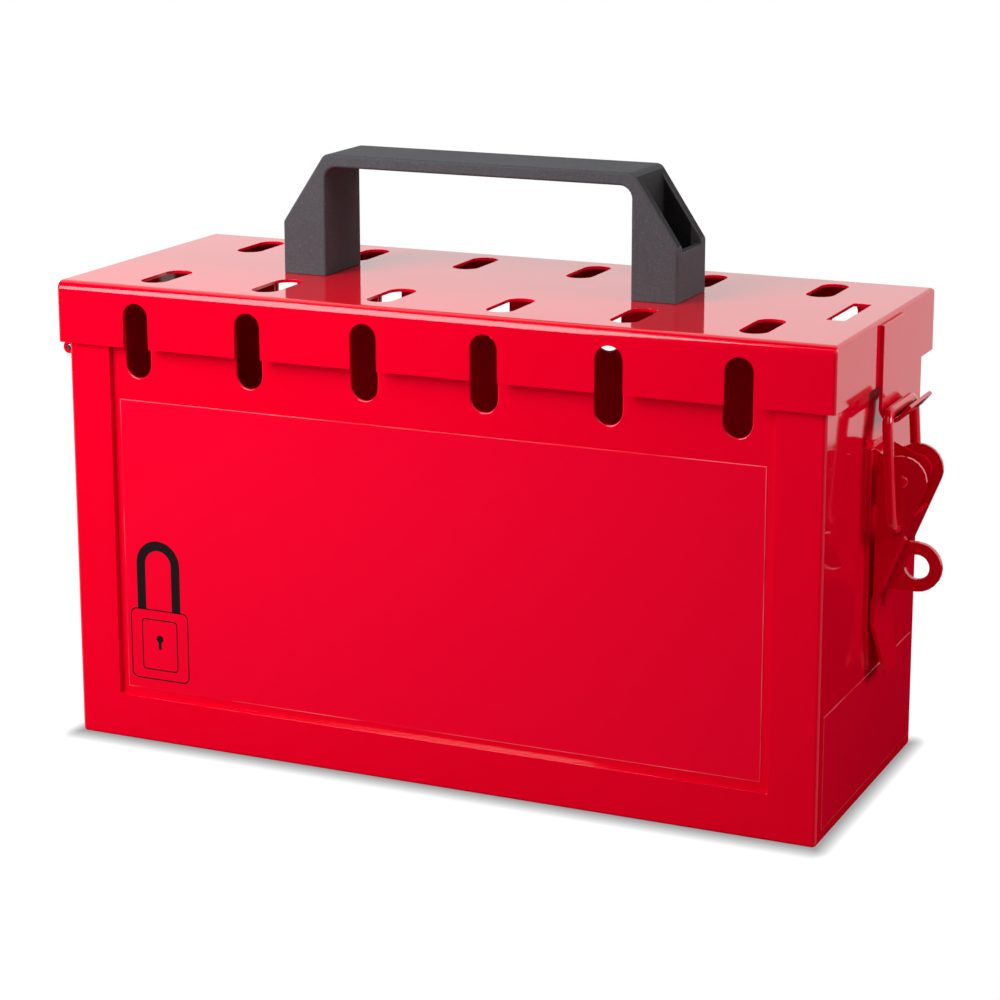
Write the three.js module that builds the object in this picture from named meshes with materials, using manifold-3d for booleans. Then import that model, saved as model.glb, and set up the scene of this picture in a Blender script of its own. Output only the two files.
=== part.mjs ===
// Portable group lockout box: a folded steel body with recessed front and back panels, a slotted lid
// on a continuous hinge, a bridge handle, and an over-centre latch with a padlock eye.
// Millimetres, +Z up. X runs from the hinge end to the latch end and the front is on -Y.
// The origin is the middle of the body's underside.
import * as THREE from 'three';
import { mergeVertices } from 'three/addons/utils/BufferGeometryUtils.js';
import Module from 'manifold-3d';

const wasm = await Module();
wasm.setup();

// Lid: a shallow folded tray turned over the body
const lidLength = 260;
const lidDepth = 103;
const boxHeight = 152;
const lidSheet = 1;
const skirtHeight = 20;
const lidInnerCorner = 0.4;

// Body: floor, two ends and the flanges that frame the panels
const sideGap = 0.6;
const lidSeatGap = 0.3;
const bodySheet = 2;
const bodyInnerCorner = 0.4;
const rimWidth = 15;
const panelSheet = 1.2;
const panelEdgeGap = 0.4;

// Padlock slots
const slotWidth = 9;
const slotPitch = 40.4;
const slotEndMargin = 22;
const topSlotLength = 23.6;
const topRowInset = 20.3;
const wallSlotLength = 25.4;
const wallSlotDrop = 4.9;
const wallSlotShift = -1.4;
const notchDrop = 5.4;

// Key slot at the latch end of the lid
const keySlotWidth = 5.8;
const keySlotLength = 28.2;
const keySlotInset = 12.3;
const keySlotCorner = 0.4;

// Continuous hinge at the left end
const hingeLength = 92;
const hingeLeaf = 0.8;
const hingeLeafGap = 0.4;
const knuckleRadius = 2.1;
const hingePinRadius = 1;
const hingePinGap = 0.15;
const knuckleCount = 7;
const knuckleGap = 0.3;
const knuckleDrop = 0.7;
const knuckleStandoff = 2.6;
const lidLeafRise = 16;
const bodyLeafDrop = 5;

// Bridge handle
const handleSpan = 120.6;
const handleWidth = 25.2;
const handleRise = 39.5;
const handleBar = 4.1;
const handleShoulder = 17;
const handleTopLap = 0.4;
const handleInnerRadius = 4;
const handleWall = 2.85;
const handleInnerWall = 2;
const handleSideWall = 4.2;
const handlePocketFloor = 8;
const handlePocketSill = 15.4;
const handleShiftX = -1.6;
const handleShiftY = 2.4;

// Handle fasteners
const screwRadius = 2.5;
const screwHole = 0.2;
const screwHeadRadius = 4.25;
const screwHeadHeight = 5;
const screwHeadGap = 0.55;
const screwSocketRadius = 2.3;
const screwSocketDepth = 2.5;
const screwTip = 1;
const washerRadius = 5;
const washerSheet = 1;
const nutAcrossFlats = 8;
const nutHeight = 4;

// Latch: all of it is centred a little behind the middle of the end wall
const latchShift = 3;
const latchPlate = 1.2;
const latchBaseWidth = 22.6;
const latchBaseRise = 9.2;
const latchBaseFall = 61.6;
const latchBaseToe = 13;
const latchBaseTaper = 14;
const latchReach = 22.1;
const cheekGap = 1.5;
const earSheet = 1.4;
const earRadius = 4.6;
const earFoot = 9;
const earGap = 0.3;

// Latch lever
const leverWidth = 19.6;
const leverSheet = 1.2;
const cheekRadius = 7.7;
const webSlope = THREE.MathUtils.degToRad(22);
const webTopDrop = 11.2;
const tabGap = 0.8;
const tabFlat = 7.4;
const tabFlare = 16.4;
const tabFlareAngle = THREE.MathUtils.degToRad(12);
const tabToe = 13.2;
const tabCorner = 2;
const leverSlotSideGap = 1;
const leverSlotTopGap = 1.65;
const leverSlotBottomGap = 6.15;

// Lever pin and wire bail
const leverPinRadius = 1.6;
const pinGap = 0.15;
const pinHeadRadius = 2.1;
const pinHeadHeight = 0.9;
const bailWire = 3.3;
const bailHoleGap = 0.3;
const bailPivotDrop = 15.1;
const bailPivotInset = 1.2;
const bailSideGap = 1.35;
const bailFootLap = 0.5;
const bailFootRadius = 5;
const bailTopRadius = 3.6;
const bailFootReach = 2.2;

// Keeper on the lid's end, with the hook that holds the bail
const keeperWidth = 22.6;
const keeperSheet = 1.2;
const keeperTopDrop = 1.6;
const hookRadius = 2.9;
const hookDrop = 26.8;
const hookSeatGap = 0.3;
const hookBarOffset = 0.75;
const lipSlope = THREE.MathUtils.degToRad(50);
const lipLength = 4.8;

// Padlock eye on the latch base
const eyeSheet = 2;
const eyeRadius = 7.75;
const eyeHoleRadius = 3.95;
const eyeStandoff = 13.5;
const eyeDrop = 28.7;

// Rivets that hold the latch base to the end wall
const rivetRadius = 1.6;
const rivetGap = 0.15;
const rivetHeadRadius = 3;
const rivetHeadHeight = 1.1;
const rivetUpperRise = 4;
const rivetMiddleDrop = 14;
const rivetLowerRise = 5.5;

// Clear film labels, left bare
const filmSheet = 0.15;
const frontFilmLeftMargin = 2.35;
const frontFilmRightMargin = 3.15;
const frontFilmSill = 2.5;
const frontFilmHead = 7.4;
const endFilmFrontMargin = 5;
const endFilmBackMargin = 3.6;
const endFilmSill = 4;
const endFilmHead = 2.2;

// Facet angle of round stretches, and how far a cutter runs past the material
const facet = THREE.MathUtils.degToRad(15);
const fineFacet = THREE.MathUtils.degToRad(30);
const overrun = 1;

// Points or angles closer than this count as the same
const sameWithin = 1e-4;

// Places that follow from the sizes above
const halfTurn = Math.PI;
const quarterTurn = halfTurn / 2;
const lidEndX = lidLength / 2;
const lidSideY = lidDepth / 2;
const lidUnder = boxHeight - lidSheet;
const skirtBottom = boxHeight - skirtHeight;
const endGap = 2 * hingeLeaf + hingeLeafGap;
const bodyEndX = lidEndX - lidSheet - endGap;
const bodySideY = lidSideY - lidSheet - sideGap;
const bodyTop = lidUnder - lidSeatGap;
const panelFaceY = bodySideY - bodySheet;
const windowX = bodyEndX - rimWidth;
const wallSlotTop = boxHeight - wallSlotDrop;
const wallSlotBottom = wallSlotTop - wallSlotLength;
const slotCount = 1 + Math.floor((lidLength - 2 * slotEndMargin) / slotPitch);
const slotPlaces = Array.from({ length: slotCount }, (_, i) => (i - (slotCount - 1) / 2) * slotPitch);

const red = { color: 0xc8001e, roughness: 0.22, metalness: 0 };
const materialOf = {
  paint: () => new THREE.MeshStandardMaterial(red),
  nylon: () => new THREE.MeshStandardMaterial({ color: 0x3a3a3e, roughness: 0.6, metalness: 0 }),
  zinc: () => new THREE.MeshStandardMaterial({ color: 0xb4b7ba, roughness: 0.35, metalness: 1 }),
  film: () => new THREE.MeshStandardMaterial({ color: 0xd01030, roughness: 0.1, metalness: 0 }),
};

const ordered = (a, b) => [Math.min(a, b), Math.max(a, b)];

// Points of an arc about (cx, cy), from one angle to another, no coarser than the facet angle
function arc(cx, cy, radius, from, to, step = facet) {
  const count = Math.max(1, Math.ceil(Math.abs(to - from) / step - sameWithin));
  return Array.from({ length: count + 1 }, (_, i) => {
    const angle = from + ((to - from) * i) / count;
    return new THREE.Vector2(cx + radius * Math.cos(angle), cy + radius * Math.sin(angle));
  });
}

function outline(points) {
  const kept = points.filter((p, i) => i === 0 || p.distanceTo(points[i - 1]) > sameWithin);
  if (kept[0].distanceTo(kept[kept.length - 1]) < sameWithin) kept.pop();
  return new THREE.Shape(kept);
}

function disc(cx, cy, radius, step = facet) {
  return outline(arc(cx, cy, radius, 0, 2 * halfTurn, step));
}

function roundedRectangle(x0, x1, y0, y1, radius) {
  const r = Math.min(radius, (x1 - x0) / 2, (y1 - y0) / 2);
  return outline([
    ...arc(x1 - r, y0 + r, r, -quarterTurn, 0),
    ...arc(x1 - r, y1 - r, r, 0, quarterTurn),
    ...arc(x0 + r, y1 - r, r, quarterTurn, halfTurn),
    ...arc(x0 + r, y0 + r, r, halfTurn, halfTurn + quarterTurn),
  ]);
}

// A slot with round ends, its long way along the outline's second axis
function obround(cx, y0, y1, width) {
  return roundedRectangle(cx - width / 2, cx + width / 2, y0, y1, width / 2);
}

// A closed mesh as a solid, ready to be joined or cut
function solidOf(geometry) {
  geometry.deleteAttribute('normal');
  geometry.deleteAttribute('uv');
  const merged = mergeVertices(geometry);
  const index = merged.index.array;
  const kept = [];
  for (let i = 0; i < index.length; i += 3) {
    const [a, b, c] = [index[i], index[i + 1], index[i + 2]];
    if (a !== b && b !== c && c !== a) kept.push(a, b, c);
  }
  return new wasm.Manifold(new wasm.Mesh({
    numProp: 3,
    vertProperties: new Float32Array(merged.attributes.position.array),
    triVerts: new Uint32Array(kept),
  }));
}

function extrude(shape, from, to, xAxis, yAxis, zAxis) {
  const geometry = new THREE.ExtrudeGeometry(shape, { depth: to - from, bevelEnabled: false });
  geometry.translate(0, 0, from);
  geometry.applyMatrix4(new THREE.Matrix4().makeBasis(xAxis, yAxis, zAxis));
  return solidOf(geometry);
}

const unitX = new THREE.Vector3(1, 0, 0);
const unitY = new THREE.Vector3(0, 1, 0);
const unitZ = new THREE.Vector3(0, 0, 1);

// Prisms along each axis; the outline is drawn in (x, y), (x, z) and (y, z)
const alongZ = (shape, from, to) => extrude(shape, from, to, unitX, unitY, unitZ);
const alongY = (shape, from, to) => extrude(shape, -to, -from, unitX, unitZ, unitY.clone().negate());
const alongX = (shape, from, to) => extrude(shape, from, to, unitY, unitZ, unitX);

function block(x0, x1, y0, y1, z0, z1) {
  const geometry = new THREE.BoxGeometry(x1 - x0, y1 - y0, z1 - z0);
  geometry.translate((x0 + x1) / 2, (y0 + y1) / 2, (z0 + z1) / 2);
  return solidOf(geometry);
}

const joined = (...solids) => solids.reduce((whole, next) => whole.add(next));
const cut = (whole, ...cutters) => cutters.reduce((rest, next) => rest.subtract(next), whole);

// Turns a profile of (radius, height) points about an axis that starts at a place
function turned(profile, place, direction) {
  const geometry = new THREE.LatheGeometry(profile, Math.round((2 * halfTurn) / facet));
  const turn = new THREE.Quaternion().setFromUnitVectors(unitY, direction);
  geometry.applyQuaternion(turn);
  geometry.translate(place.x, place.y, place.z);
  return solidOf(geometry);
}

// Round head: flat underneath at height 0, crown at the given height
function domePoints(radius, height, base = 0) {
  return arc(0, 0, 1, 0, quarterTurn, facet)
    .map((p) => new THREE.Vector2(Math.max(0, radius * p.x), base + height * p.y));
}

// Outline of a bent sheet: its outer line, and the same line set in by the sheet's thickness
function sheetOutline(outer, thickness) {
  const last = outer.length - 1;
  const normals = outer.slice(1).map((point, i) => {
    const run = point.clone().sub(outer[i]).normalize();
    return new THREE.Vector2(run.y, -run.x);
  });
  const inner = outer.map((point, i) => {
    const before = normals[Math.max(i - 1, 0)];
    const after = normals[Math.min(i, last - 1)];
    const mitre = before.clone().add(after).normalize();
    return point.clone().addScaledVector(mitre, thickness / mitre.dot(before));
  });
  return outline([...outer, ...inner.reverse()]);
}

const model = new THREE.Group();

function addPiece(name, solid, material, parent = model) {
  const mesh = solid.getMesh();
  const geometry = new THREE.BufferGeometry();
  geometry.setAttribute('position', new THREE.BufferAttribute(new Float32Array(mesh.vertProperties), 3));
  geometry.setIndex(new THREE.BufferAttribute(new Uint32Array(mesh.triVerts), 1));
  geometry.computeVertexNormals();
  const piece = new THREE.Mesh(geometry, material());
  piece.name = name;
  parent.add(piece);
}

// Places and widths that the latch, the handle and the fasteners share
const handleLeg = 2 * (screwHeadRadius + screwHeadGap + handleWall);
const handleScrewX = [-1, 1].map((side) => handleShiftX + (side * handleSpan) / 2);
const keeperFaceX = lidEndX + keeperSheet;
const baseFaceX = bodyEndX + latchPlate;
const hookCentre = new THREE.Vector2(keeperFaceX + hookRadius, boxHeight - hookDrop);
const pivot = new THREE.Vector2(baseFaceX + cheekGap + cheekRadius, hookCentre.y - latchReach);
const bailPivot = new THREE.Vector2(pivot.x - bailPivotInset, pivot.y - bailPivotDrop);
const bailBar = new THREE.Vector2(
  keeperFaceX + hookBarOffset + bailWire / 2,
  hookCentre.y - hookRadius + hookSeatGap + bailWire / 2,
);
const latchBaseTop = pivot.y + latchBaseRise;
const latchBaseBottom = pivot.y - latchBaseFall;
const rivetHeights = [
  pivot.y + rivetUpperRise,
  pivot.y - rivetMiddleDrop,
  latchBaseBottom + rivetLowerRise,
];

// Lid: outer tray less its inside, with the top slots, the skirt notches and the key slot cut out
function makeLid() {
  const outer = roundedRectangle(-lidEndX, lidEndX, -lidSideY, lidSideY, lidInnerCorner + lidSheet);
  const innerX = lidEndX - lidSheet;
  const innerY = lidSideY - lidSheet;
  const inner = roundedRectangle(-innerX, innerX, -innerY, innerY, lidInnerCorner);
  let lid = cut(alongZ(outer, skirtBottom, boxHeight), alongZ(inner, skirtBottom - overrun, lidUnder));
  for (const x of slotPlaces) {
    for (const row of [topRowInset - lidSideY, lidSideY - topRowInset]) {
      const slot = obround(x, row - topSlotLength / 2, row + topSlotLength / 2, slotWidth);
      lid = cut(lid, alongZ(slot, lidUnder - overrun, boxHeight + overrun));
    }
    const notch = obround(x, skirtBottom - slotWidth, boxHeight - notchDrop, slotWidth);
    lid = cut(lid, alongY(notch, -lidSideY - overrun, lidSideY + overrun));
  }
  const keyX = lidEndX - keySlotInset;
  const keySlot = roundedRectangle(
    keyX - keySlotWidth / 2, keyX + keySlotWidth / 2, -keySlotLength / 2, keySlotLength / 2, keySlotCorner);
  lid = cut(lid, alongZ(keySlot, lidUnder - overrun, boxHeight + overrun));
  for (const x of handleScrewX) {
    const hole = disc(x, handleShiftY, screwRadius + screwHole);
    lid = cut(lid, alongZ(hole, lidUnder - overrun, boxHeight + overrun));
  }
  return lid;
}

// Body: floor, ends and flanges as one folded sheet, with the front and back windows open at the top
function makeBody() {
  const outer = roundedRectangle(
    -bodyEndX, bodyEndX, -bodySideY, bodySideY, bodyInnerCorner + bodySheet);
  const innerX = bodyEndX - bodySheet;
  const innerY = bodySideY - bodySheet;
  const inner = roundedRectangle(-innerX, innerX, -innerY, innerY, bodyInnerCorner);
  let body = cut(
    alongZ(outer, 0, bodyTop),
    alongZ(inner, bodySheet, bodyTop + overrun),
    block(-windowX, windowX, -bodySideY - overrun, bodySideY + overrun, rimWidth, bodyTop + overrun),
  );
  for (const z of rivetHeights) {
    const hole = disc(latchShift, z, rivetRadius + rivetGap);
    body = cut(body, alongX(hole, innerX - overrun, bodyEndX + overrun));
  }
  return body;
}

// One recessed panel, with a slot behind each notch of the lid's skirt; side is -1 in front, 1 behind.
// In front the slots stand a little nearer the hinge than the notches do. The back panel is the same
// panel turned round, so there they stand nearer the latch.
function makePanel(side) {
  const halfLength = bodyEndX - bodySheet - panelEdgeGap;
  const faces = ordered(side * panelFaceY, side * (panelFaceY - panelSheet));
  let panel = block(-halfLength, halfLength, faces[0], faces[1], bodySheet, bodyTop);
  for (const x of slotPlaces) {
    const slot = obround(x - side * wallSlotShift, wallSlotBottom, wallSlotTop, slotWidth);
    panel = cut(panel, alongY(slot, faces[0] - overrun, faces[1] + overrun));
  }
  return panel;
}

// Continuous hinge: its pin lies just under the skirt, outside the end wall
const hingeAxisZ = skirtBottom - knuckleRadius - knuckleDrop;
const hingeAxisX = -bodyEndX - knuckleStandoff;
const knucklePitch = hingeLength / knuckleCount;
const lidLeafX = -lidEndX + lidSheet;

// One leaf: a flat strip, and the knuckles that it curls round the pin
function makeLeaf(first, stripX0, stripX1, stripZ0, stripZ1, rootZ) {
  let leaf = block(stripX0, stripX1, -hingeLength / 2, hingeLength / 2, stripZ0, stripZ1);
  for (let i = first; i < knuckleCount; i += 2) {
    const from = -hingeLength / 2 + i * knucklePitch + (i > 0 ? knuckleGap / 2 : 0);
    const to = -hingeLength / 2 + (i + 1) * knucklePitch - (i < knuckleCount - 1 ? knuckleGap / 2 : 0);
    const root = block(stripX0, stripX1, from, to, Math.min(rootZ, hingeAxisZ), Math.max(rootZ, hingeAxisZ));
    leaf = joined(leaf, root, alongY(disc(hingeAxisX, hingeAxisZ, knuckleRadius), from, to));
  }
  const bore = disc(hingeAxisX, hingeAxisZ, hingePinRadius + hingePinGap);
  return cut(leaf, alongY(bore, -hingeLength / 2 - overrun, hingeLength / 2 + overrun));
}

function makeHingePin() {
  return alongY(disc(hingeAxisX, hingeAxisZ, hingePinRadius), -hingeLength / 2, hingeLength / 2);
}

// Bridge handle: two legs and a flat bar, drawn from the side. Each leg has a pocket for its screw,
// open through the slope above the leg.
function makeHandle() {
  const half = (handleSpan + handleLeg) / 2;
  const inside = half - handleLeg;
  const topHalf = inside + handleTopLap;
  const under = handleRise - handleBar;
  const r = handleInnerRadius;
  const side = outline([
    new THREE.Vector2(half, 0), new THREE.Vector2(half, handleShoulder),
    new THREE.Vector2(topHalf, handleRise), new THREE.Vector2(-topHalf, handleRise),
    new THREE.Vector2(-half, handleShoulder), new THREE.Vector2(-half, 0), new THREE.Vector2(-inside, 0),
    ...arc(-inside + r, under - r, r, halfTurn, quarterTurn),
    ...arc(inside - r, under - r, r, quarterTurn, 0),
    new THREE.Vector2(inside, 0),
  ]);
  let handle = alongY(side, -handleWidth / 2, handleWidth / 2);
  const pocketY = handleWidth / 2 - handleSideWall;
  for (const end of [-1, 1]) {
    const [near, far] = ordered(end * (inside + handleInnerWall), end * (half - handleWall));
    const [inner, outer] = ordered(end * (half - handleWall - overrun), end * (half + overrun));
    const hole = disc((end * handleSpan) / 2, 0, screwRadius + screwHole);
    handle = cut(
      handle,
      block(near, far, -pocketY, pocketY, handlePocketFloor, handleRise + overrun),
      block(inner, outer, -pocketY, pocketY, handlePocketSill, handleRise + overrun),
      alongZ(hole, -overrun, handlePocketFloor + overrun),
    );
  }
  return handle.translate([handleShiftX, handleShiftY, boxHeight]);
}

const nutTop = lidUnder - washerSheet;
const nutBottom = nutTop - nutHeight;

// Socket-head screw standing on the floor of a handle leg's pocket
function makeScrew(x) {
  const seat = boxHeight + handlePocketFloor;
  const shank = alongZ(disc(x, handleShiftY, screwRadius), nutBottom - screwTip, seat + overrun);
  const head = alongZ(disc(x, handleShiftY, screwHeadRadius), seat, seat + screwHeadHeight);
  const socket = alongZ(
    disc(x, handleShiftY, screwSocketRadius, halfTurn / 3),
    seat + screwHeadHeight - screwSocketDepth, seat + screwHeadHeight + overrun);
  return cut(joined(shank, head), socket);
}

function makeWasher(x) {
  return cut(
    alongZ(disc(x, handleShiftY, washerRadius), nutTop, lidUnder),
    alongZ(disc(x, handleShiftY, screwRadius + screwHole), nutTop - overrun, lidUnder + overrun));
}

function makeNut(x) {
  const corner = nutAcrossFlats / 2 / Math.cos(halfTurn / 6);
  return cut(
    alongZ(disc(x, handleShiftY, corner, halfTurn / 3), nutBottom, nutTop),
    alongZ(disc(x, handleShiftY, screwRadius + screwHole), nutBottom - overrun, nutTop + overrun));
}

// Latch base: a plate on the end wall with two ears for the lever's pin
function makeLatchBase() {
  const half = latchBaseWidth / 2;
  const toe = latchBaseToe / 2;
  const shape = outline([
    new THREE.Vector2(latchShift - toe, latchBaseBottom),
    new THREE.Vector2(latchShift + toe, latchBaseBottom),
    new THREE.Vector2(latchShift + half, latchBaseBottom + latchBaseTaper),
    new THREE.Vector2(latchShift + half, latchBaseTop), new THREE.Vector2(latchShift - half, latchBaseTop),
    new THREE.Vector2(latchShift - half, latchBaseBottom + latchBaseTaper),
  ]);
  let base = alongX(shape, bodyEndX, baseFaceX);
  const ear = outline([
    new THREE.Vector2(baseFaceX - latchPlate / 2, pivot.y - earFoot),
    ...arc(pivot.x, pivot.y, earRadius, -quarterTurn, quarterTurn),
    new THREE.Vector2(baseFaceX - latchPlate / 2, pivot.y + earFoot),
  ]);
  const earOuter = leverWidth / 2 - leverSheet - earGap;
  for (const side of [-1, 1]) {
    const [from, to] = ordered(side * earOuter, side * (earOuter - earSheet));
    base = joined(base, alongY(ear, latchShift + from, latchShift + to));
  }
  const pinHole = disc(pivot.x, pivot.y, leverPinRadius + pinGap);
  base = cut(base, alongY(pinHole, latchShift - leverWidth, latchShift + leverWidth));
  for (const z of rivetHeights) {
    const hole = disc(latchShift, z, rivetRadius + rivetGap);
    base = cut(base, alongX(hole, bodyEndX - overrun, baseFaceX + overrun));
  }
  return base;
}

// Padlock eye: a plate on edge that stands out of the latch base through the lever's slot
function makeEye() {
  const centre = new THREE.Vector2(bodyEndX + eyeStandoff, pivot.y - eyeDrop);
  const shape = outline([
    new THREE.Vector2(baseFaceX, centre.y - eyeRadius),
    ...arc(centre.x, centre.y, eyeRadius, -quarterTurn, quarterTurn),
    new THREE.Vector2(baseFaceX, centre.y + eyeRadius),
  ]);
  shape.holes.push(disc(centre.x, centre.y, eyeHoleRadius));
  return alongY(shape, latchShift - eyeSheet / 2, latchShift + eyeSheet / 2);
}

// Rivet through the latch base and the end wall, headed on both sides
function makeRivet(z) {
  const inside = bodyEndX - bodySheet;
  const profile = [
    new THREE.Vector2(0, -rivetHeadHeight),
    ...domePoints(rivetHeadRadius, -rivetHeadHeight).reverse().slice(1),
    new THREE.Vector2(rivetRadius, 0), new THREE.Vector2(rivetRadius, baseFaceX - inside),
    ...domePoints(rivetHeadRadius, rivetHeadHeight, baseFaceX - inside),
  ];
  return turned(profile, new THREE.Vector3(inside, latchShift, z), unitX);
}

// Lever: two cheeks about the pin, a sloping web between them and a flared finger tab below
function makeLever() {
  const towardWeb = new THREE.Vector2(Math.cos(webSlope), -Math.sin(webSlope));
  const tangent = pivot.clone().addScaledVector(towardWeb, cheekRadius);
  const onWeb = (z) => new THREE.Vector2(tangent.x - (tangent.y - z) * Math.tan(webSlope), z);
  const tabX = baseFaceX + tabGap + leverSheet;
  const bendZ = tangent.y - (tangent.x - tabX) / Math.tan(webSlope);
  const flareZ = bendZ - tabFlat;
  const tipZ = flareZ - tabFlare;
  const tipX = tabX + tabFlare * Math.tan(tabFlareAngle);
  const strip = sheetOutline([
    new THREE.Vector2(tipX, tipZ), new THREE.Vector2(tabX, flareZ),
    new THREE.Vector2(tabX, bendZ), onWeb(pivot.y - webTopDrop),
  ].reverse(), leverSheet);
  const half = leverWidth / 2;
  let web = alongY(strip, latchShift - half, latchShift + half);

  const toe = tabToe / 2;
  const front = outline([
    ...arc(latchShift - toe + tabCorner, tipZ + tabCorner, tabCorner, halfTurn, halfTurn + quarterTurn),
    ...arc(latchShift + toe - tabCorner, tipZ + tabCorner, tabCorner, -quarterTurn, 0),
    new THREE.Vector2(latchShift + half, flareZ), new THREE.Vector2(latchShift + half, pivot.y),
    new THREE.Vector2(latchShift - half, pivot.y), new THREE.Vector2(latchShift - half, flareZ),
  ]);
  web = web.intersect(alongX(front, bodyEndX, tangent.x + overrun));
  const slotTop = pivot.y - eyeDrop + eyeRadius + leverSlotTopGap;
  const slotBottom = pivot.y - eyeDrop - eyeRadius - leverSlotBottomGap;
  const slot = obround(latchShift, slotBottom, slotTop, eyeSheet + 2 * leverSlotSideGap);
  web = cut(web, alongX(slot, bodyEndX, tangent.x + overrun));

  const cheek = outline([
    ...arc(pivot.x, pivot.y, cheekRadius, -webSlope, halfTurn),
    new THREE.Vector2(pivot.x - cheekRadius, onWeb(bendZ).y + leverSheet),
    onWeb(bendZ + leverSheet),
  ]);
  let lever = web;
  for (const side of [-1, 1]) {
    const [from, to] = ordered(side * half, side * (half - leverSheet));
    lever = joined(lever, alongY(cheek, latchShift + from, latchShift + to));
  }
  const pinHole = disc(pivot.x, pivot.y, leverPinRadius + pinGap);
  const bailHole = disc(bailPivot.x, bailPivot.y, bailWire / 2 + bailHoleGap);
  return cut(
    lever,
    alongY(pinHole, latchShift - leverWidth, latchShift + leverWidth),
    alongY(bailHole, latchShift - leverWidth, latchShift + leverWidth));
}

// Headed pin that joins the lever's cheeks to the ears of the base
function makeLeverPin() {
  const length = leverWidth;
  const profile = [
    new THREE.Vector2(0, -pinHeadHeight),
    ...domePoints(pinHeadRadius, -pinHeadHeight).reverse().slice(1),
    new THREE.Vector2(leverPinRadius, 0), new THREE.Vector2(leverPinRadius, length),
    ...domePoints(pinHeadRadius, pinHeadHeight, length),
  ];
  return turned(profile, new THREE.Vector3(pivot.x, latchShift - length / 2, pivot.y), unitY);
}

// Wire bail: a loop whose feet turn into the lever's cheeks and whose bar lies in the keeper's hook
function makeBail() {
  const length = bailPivot.distanceTo(bailBar);
  const half = Math.max(
    keeperWidth / 2 + bailSideGap + bailWire / 2, leverWidth / 2 + bailFootRadius - bailFootLap);
  const footEnd = leverWidth / 2 - leverSheet - bailFootReach;
  const place = (u, v) => new THREE.Vector3(
    bailPivot.x + ((bailBar.x - bailPivot.x) * v) / length,
    latchShift + u,
    bailPivot.y + ((bailBar.y - bailPivot.y) * v) / length,
  );
  const foot = bailFootRadius;
  const top = bailTopRadius;
  const route = [
    new THREE.Vector2(-footEnd, 0),
    ...arc(-half + foot, foot, foot, -quarterTurn, -halfTurn, facet),
    ...arc(-half + top, length - top, top, halfTurn, quarterTurn, facet),
    ...arc(half - top, length - top, top, quarterTurn, 0, facet),
    ...arc(half - foot, foot, foot, 0, -quarterTurn, facet),
    new THREE.Vector2(footEnd, 0),
  ];
  const path = new THREE.CurvePath();
  for (let i = 1; i < route.length; i += 1) {
    path.add(new THREE.LineCurve3(place(route[i - 1].x, route[i - 1].y), place(route[i].x, route[i].y)));
  }
  const steps = Math.round(path.getLength() / (bailWire / 2));
  const geometry = new THREE.ExtrudeGeometry(
    disc(0, 0, bailWire / 2, fineFacet), { steps, extrudePath: path, bevelEnabled: false });
  return solidOf(geometry);
}

// Keeper: a strip on the lid's end skirt whose lower edge curls out and up into a hook
function makeKeeper() {
  const lipStart = -quarterTurn + lipSlope;
  const crook = arc(hookCentre.x, hookCentre.y, hookRadius, halfTurn, 2 * halfTurn + lipStart);
  const backCrook = arc(
    hookCentre.x, hookCentre.y, hookRadius + keeperSheet, halfTurn, 2 * halfTurn + lipStart).reverse();
  const along = new THREE.Vector2(Math.cos(lipSlope), Math.sin(lipSlope)).multiplyScalar(lipLength);
  const profile = outline([
    new THREE.Vector2(keeperFaceX, boxHeight - keeperTopDrop),
    ...crook,
    crook[crook.length - 1].clone().add(along),
    backCrook[0].clone().add(along),
    ...backCrook,
    new THREE.Vector2(lidEndX, boxHeight - keeperTopDrop),
  ]);
  return alongY(profile, latchShift - keeperWidth / 2, latchShift + keeperWidth / 2);
}

function makeFrontFilm() {
  return block(
    -windowX + frontFilmLeftMargin, windowX - frontFilmRightMargin, -panelFaceY - filmSheet, -panelFaceY,
    rimWidth + frontFilmSill, wallSlotBottom - frontFilmHead);
}

function makeEndFilm() {
  return block(
    bodyEndX, bodyEndX + filmSheet, -bodySideY + endFilmFrontMargin, bodySideY - endFilmBackMargin,
    endFilmSill, latchBaseBottom - endFilmHead);
}

addPiece('body_shell', makeBody(), materialOf.paint);
addPiece('front_panel', makePanel(-1), materialOf.paint);
addPiece('back_panel', makePanel(1), materialOf.paint);
addPiece('lid_shell', makeLid(), materialOf.paint);
addPiece('hinge_body_leaf', makeLeaf(
  0, -bodyEndX - hingeLeaf, -bodyEndX, hingeAxisZ - bodyLeafDrop,
  hingeAxisZ - knuckleRadius - knuckleGap, hingeAxisZ - knuckleRadius - knuckleGap), materialOf.paint);
addPiece('hinge_lid_leaf', makeLeaf(
  1, lidLeafX, lidLeafX + hingeLeaf, hingeAxisZ + knuckleRadius + knuckleGap,
  hingeAxisZ + lidLeafRise, hingeAxisZ + knuckleRadius + knuckleGap), materialOf.paint);
addPiece('hinge_pin', makeHingePin(), materialOf.zinc);
addPiece('carry_handle', makeHandle(), materialOf.nylon);
handleScrewX.forEach((x, i) => {
  const end = ['left', 'right'][i];
  addPiece(`handle_screw_${end}`, makeScrew(x), materialOf.zinc);
  addPiece(`handle_washer_${end}`, makeWasher(x), materialOf.zinc);
  addPiece(`handle_nut_${end}`, makeNut(x), materialOf.zinc);
});
addPiece('keeper', makeKeeper(), materialOf.paint);
addPiece('latch_base', makeLatchBase(), materialOf.paint);
addPiece('padlock_eye', makeEye(), materialOf.paint);
rivetHeights.forEach((z, i) => {
  addPiece(`latch_rivet_${i + 1}`, makeRivet(z), materialOf.paint);
});
addPiece('latch_lever', makeLever(), materialOf.paint);
addPiece('lever_pin', makeLeverPin(), materialOf.paint);
addPiece('bail', makeBail(), materialOf.paint);
addPiece('front_label', makeFrontFilm(), materialOf.film);
addPiece('end_label', makeEndFilm(), materialOf.film);

export default model;
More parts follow.
